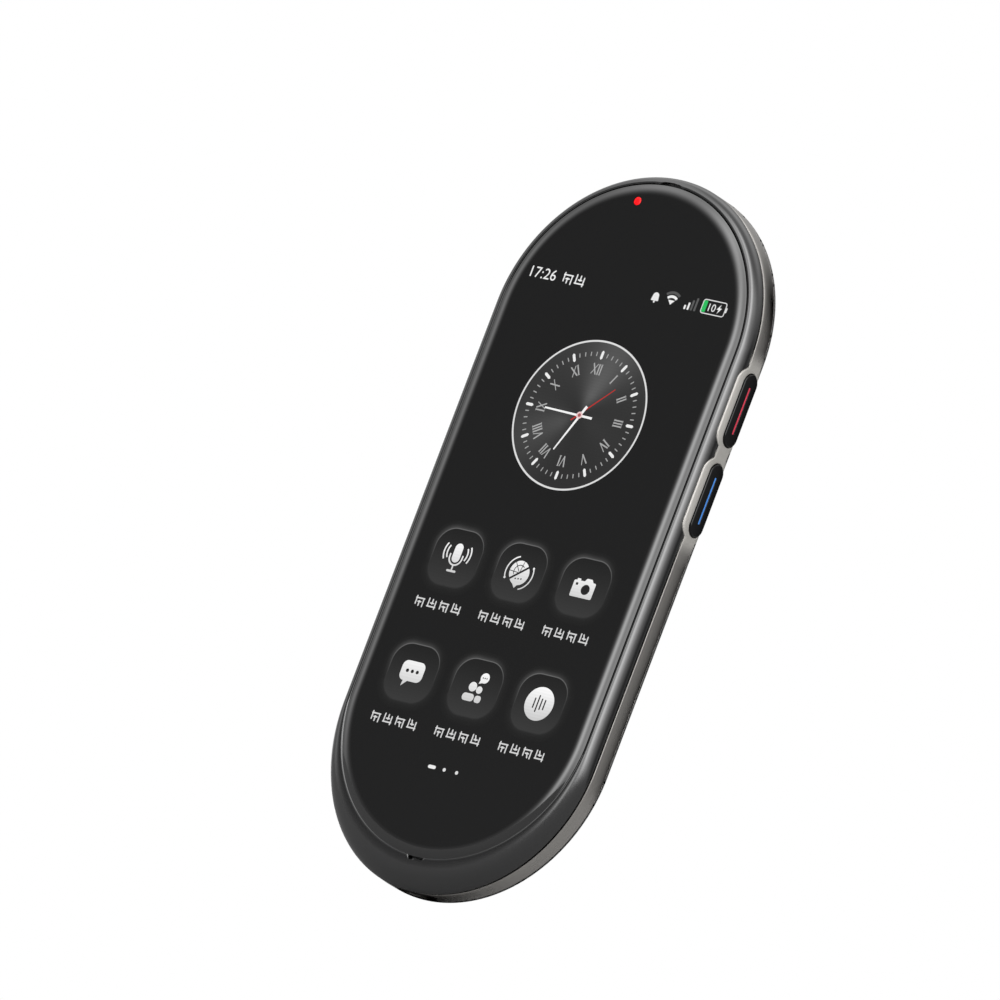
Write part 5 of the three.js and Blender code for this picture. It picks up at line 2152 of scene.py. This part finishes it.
@dataclass
class Device:
    """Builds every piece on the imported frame."""

    lip: float = 0.6
    dial: Spot = (-0.56, 21.34)
    dial_unit: float = 11.2

    def __post_init__(self) -> None:
        """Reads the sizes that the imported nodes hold."""
        glass_low, glass_high = node_box("cover_glass")
        frame_high = node_box("mid_frame")[1]
        red_low, red_high = node_box("talk_button_red")
        usb_low, usb_high = node_box("usb_shell")
        ring_low, ring_high = node_box("camera_ring")
        self.light_low, self.light_high = node_box("status_light")
        self.key_y = (red_low[1] + red_high[1]) / 2
        sides = {"talk_button_red": Side.RIGHT, "talk_button_blue": Side.RIGHT, "power_button": Side.LEFT}
        self.places = [self.key_place(node, side) for node, side in sides.items()]
        self.outline = Outline(
            half_width=frame_high[0],
            half_length=frame_high[2],
            keys=self.places,
            key_y=self.key_y,
            island_half_height=3.5,
            island_reach=1.0,
            island_corner=3.0,
            usb=Hole((usb_high[0] - usb_low[0]) / 2 - 0.3, 1.4, (usb_low[1] + usb_high[1]) / 2),
            mic_z=27.7,
            mic_radius=0.42,
            key_hole_half_height=1.97,
            key_hole_gap=0.15,
        )
        self.housing = Housing(self.outline, glass_low, glass_high, rail_front=-9.55, rail_back=-6.15)
        self.camera_centre = ((ring_low[0] + ring_high[0]) / 2, (ring_low[2] + ring_high[2]) / 2)
        self.face, self.back = red_high[0], red_low[0]

    def key_place(self, node: str, side: Side) -> KeyPlace:
        """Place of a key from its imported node, less the flange's lip."""
        low, high = node_box(node)
        return KeyPlace(node, side, (low[2] + high[2]) / 2, high[2] - low[2] - 2 * self.lip)

    def build_housing(self) -> None:
        """Makes the four shells and the status light."""
        housing = self.housing
        seat(housing.make_frame(FINISHES["rail_metal"]), "housing", "rail_metal", "mid_frame")
        seat(housing.make_bezel(FINISHES["bezel_metal"]), "housing", "bezel_metal", "front_bezel")
        light = (-5.5, (self.light_low[2] + self.light_high[2]) / 2, 0.8)
        seat(housing.make_glass(FINISHES["screen_glass"], light), "housing", "screen_glass", "cover_glass")
        back = DimpledBack(housing, self.camera_centre[1], CameraUnit.ring_radius + 0.15, 25.0)
        seat(back.make(FINISHES["cover_metal"]), "housing", "cover_metal", "back_cover")
        dome = [(0.0, -12.575), (0.3, -12.57), (0.6, -12.545), (0.74, -12.5)]
        stem = [(0.76, -11.6), (0.68, -11.5), (0.68, -9.6), (0.0, -9.6)]
        lens = lathe(dome + stem, light[:2], 40).make("status_lens", FINISHES["status_red"].build(), 40.0)
        seat(lens, "housing", "status_red", "status_light")

    def build_keys(self) -> None:
        """Makes the three keys, the light lines and the power sign."""
        red, blue, power = [SideKey(place, self.key_y, self.face, self.back) for place in self.places]
        power.face -= power.sign_height
        black = FINISHES["key_black"]
        seat(red.make_cap("red_talk_cap", black), "red_talk_key", "key_black", "talk_button_red")
        seat(blue.make_cap("blue_talk_cap", black), "blue_talk_key", "key_black", "talk_button_blue")
        red_line = red.make_line("red_talk_line", FINISHES["line_red"])
        seat(red_line, "red_talk_key", "line_red", "red_light_bar")
        blue_line = blue.make_line("blue_talk_line", FINISHES["line_blue"])
        seat(blue_line, "blue_talk_key", "line_blue", "blue_light_bar")
        seat(power.make_cap("power_cap", FINISHES["key_red"], False), "power_key", "key_red", "power_button")
        seat(power.make_sign("power_sign", FINISHES["sign_pale"]), "power_key", "key_red")

    def build_camera(self) -> None:
        """Makes the rear camera."""
        unit = CameraUnit(self.camera_centre)
        seat(unit.make_ring(FINISHES["camera_trim"]), "housing", "camera_trim", "camera_ring")
        seat(unit.make_window(ClearGlass("window_clear")), "housing", "camera_glass", "camera_window")
        seat(unit.make_barrel(FINISHES["lens_black"]), "housing", "lens_black", "camera_barrel")
        seat(unit.make_lens(LENS), "housing", "lens_black")

    def build_screen(self) -> None:
        """Makes the lit picture."""
        image = ScreenImage(self.dial, self.dial_unit, self.housing.glass_low[1] + self.housing.glass_sink)
        lit = LitImage("screen_light").build()
        makers = (image.make_dial, image.make_numerals, image.make_hands, image.make_tiles)
        for maker in (*makers, image.make_signs, image.make_captions, image.make_status):
            seat(maker(lit), "housing", "screen_panel")

    def dress_inner(self) -> None:
        """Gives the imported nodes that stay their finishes."""
        shared: dict = {}
        for part in frame["record"]["subparts"]:
            node, slot = frame["nodes"][part["node"]], part["material_slot"]
            if node.hide_render:
                continue
            if slot not in shared:
                shared[slot] = FINISHES[slot].build()
            node.data.materials.clear()
            node.data.materials.append(shared[slot])
            log.info("%s keeps its packed shape, with %s", part["node"], slot)


# Studio


@dataclass(frozen=True)
class Lamp:
    """A soft patch of light in the room round the device, given by its direction and spread."""

    azimuth: float
    elevation: float
    wide: float
    high: float
    strength: float

    def axes(self) -> tuple[Array, Array, Array]:
        """Direction of the patch, and the directions across and up it.

        Returns:
            The three directions.
        """
        a, e = math.radians(self.azimuth), math.radians(self.elevation)
        out = np.array([math.sin(a) * math.cos(e), -math.cos(a) * math.cos(e), math.sin(e)])
        across = np.array([math.cos(a), math.sin(a), 0.0])
        return out, across, np.cross(across, out)


@dataclass
class Studio:
    """White room, soft patches of light, floor and camera."""

    dial: tuple[float, float, float]
    floor_z: float
    base: float = 0.4
    lamps: tuple = (
        Lamp(20.0, 10.0, 22.0, 12.0, 5.1),
        Lamp(52.0, 10.0, 24.0, 12.0, 2.1),
        Lamp(17.0, 31.0, 17.0, 14.0, 5.4),
        Lamp(-2.0, 50.0, 16.0, 13.0, 4.2),
        Lamp(56.0, 38.0, 22.0, 14.0, 1.6),
        Lamp(-65.0, 50.0, 20.0, 12.0, 1.0),
        Lamp(-16.0, 10.0, 7.0, 14.0, 3.6),
        Lamp(-24.0, 30.0, 9.0, 10.0, 2.6),
        Lamp(-48.0, 34.0, 14.0, 9.0, 1.4),
        Lamp(-64.0, 11.0, 9.0, 13.0, 1.05),
        Lamp(-40.0, 12.0, 17.0, 14.0, -0.36),
        Lamp(108.0, 10.0, 13.0, 16.0, -0.45),
        Lamp(160.0, 9.0, 20.0, 24.0, -0.55),
        Lamp(166.0, 36.0, 20.0, 12.0, -0.5),
        Lamp(180.0, 70.0, 45.0, 15.0, 1.0),
        Lamp(178.0, -18.0, 17.0, 22.0, -0.42),
        Lamp(234.0, -14.0, 13.0, 14.0, 8.0),
        Lamp(0.0, 88.0, 50.0, 50.0, 0.4),
    )
    pixels_per_metre: float = 5781.0
    dial_pixel: Spot = (579.3, 415.1)
    middle_pixel: float = 500.0
    focal: float = 500.0
    sensor: float = 36.0
    floor_radius: float = 2.2

    def build_world(self) -> None:
        """World light: white for the camera, and a level with bell-shaped patches for everything else."""
        world = bpy.data.worlds.new("studio")
        bpy.context.scene.world = world
        nodes = Nodes(world, "OutputWorld")
        direction = nodes.add("TexCoord").outputs["Generated"]
        level = self.base
        for lamp in self.lamps:
            level = nodes.math("ADD", level, self.patch(nodes, direction, lamp))
        room = nodes.add("Background", Strength=level, Color=(1.0, 1.0, 1.0))
        paper = nodes.add("Background", Strength=1.0, Color=(1.0, 1.0, 1.0))
        seen = nodes.add("LightPath").outputs["Is Camera Ray"]
        nodes.close(nodes.add("MixShader", seen, room.outputs[0], paper.outputs[0]))

    @staticmethod
    def patch(nodes: Nodes, direction: Socket, lamp: Lamp) -> Socket:
        """Light of one patch: its strength times the bell curve of the way across and up, on its own side.

        Args:
            nodes: The world under construction.
            direction: Where the light comes from.
            lamp: The patch.

        Returns:
            The light's socket.
        """
        out, across, up = lamp.axes()

        def along(axis: Array) -> Socket:
            """Share of the direction along an axis."""
            node = nodes.add("VectorMath", direction, tuple(axis), operation="DOT_PRODUCT")
            return node.outputs["Value"]

        wide = nodes.math("DIVIDE", along(across), math.sin(math.radians(lamp.wide)))
        high = nodes.math("DIVIDE", along(up), math.sin(math.radians(lamp.high)))
        square = nodes.math("ADD", nodes.math("MULTIPLY", wide, wide), nodes.math("MULTIPLY", high, high))
        bell = nodes.math("POWER", math.e, nodes.math("MULTIPLY", square, -1.0))
        ahead = nodes.math("GREATER_THAN", along(out), 0.0)
        return nodes.math("MULTIPLY", nodes.math("MULTIPLY", bell, ahead), lamp.strength)

    def build_floor(self) -> None:
        """Round pale floor under the device, which the camera sees through from below."""
        rim = np.insert(circle(self.floor_radius, 96), 2, self.floor_z, axis=1)
        mesh = bpy.data.meshes.new("floor")
        mesh.from_pydata(rim.tolist(), [], [list(range(len(rim)))])
        nodes = Nodes(bpy.data.materials.new("floor_paper"))
        grain = nodes.blend(nodes.noise(40.0), (0.32, 0.32, 0.32), (0.34, 0.34, 0.34))
        paper = nodes.add("BsdfDiffuse", Color=grain)
        lift = nodes.add("Emission", Color=(1.0, 1.0, 1.0), Strength=0.7)
        lifted = nodes.add("AddShader", paper.outputs[0], lift.outputs[0])
        seen = nodes.add("LightPath").outputs["Is Camera Ray"]
        shown = nodes.add("MixShader", seen, paper.outputs[0], lifted.outputs[0])
        clear = nodes.add("BsdfTransparent")
        below = nodes.math("MULTIPLY", nodes.add("NewGeometry").outputs["Backfacing"], seen)
        whole = nodes.add("MixShader", below, shown.outputs[0], clear.outputs[0])
        floor = placed("floor", mesh, nodes.close(whole))

    def build_camera(self) -> None:
        """Camera of the photograph: below the device, to its right, turned by a fifth of a right angle."""
        right = Vector((0.7614, 0.545, 0.3514)).normalized()
        back = Vector((0.6244, -0.762, -0.1711)).normalized()
        up = back.cross(right).normalized()
        right = up.cross(back)
        data = bpy.data.cameras.new("camera")
        data.sensor_width, data.lens = self.sensor, self.focal
        data.clip_start, data.clip_end = 0.01, 100.0
        distance = self.focal / self.sensor * 1000.0 / self.pixels_per_metre
        aside, down = (pixel - self.middle_pixel for pixel in self.dial_pixel)
        place = Vector(self.dial) + back * distance - (right * aside - up * down) / self.pixels_per_metre
        camera = bpy.data.objects.new("camera", data)
        camera.matrix_world = Matrix.Translation(place) @ Matrix([right, up, back]).transposed().to_4x4()
        bpy.context.scene.collection.objects.link(camera)
        bpy.context.scene.camera = camera


def main() -> None:
    """Builds each sub-assembly in order."""
    bpy.context.scene.view_settings.view_transform = "Standard"
    device = Device()
    front = device.housing.glass_low[1]
    studio = Studio((device.dial[0] * MM, front * MM, device.dial[1] * MM), cad_bounds[0][2])
    studio.build_camera()
    device.build_housing()
    device.build_keys()
    device.build_camera()
    device.build_screen()
    device.dress_inner()
    studio.build_world()
    studio.build_floor()


if __name__ == "__main__":
    main()
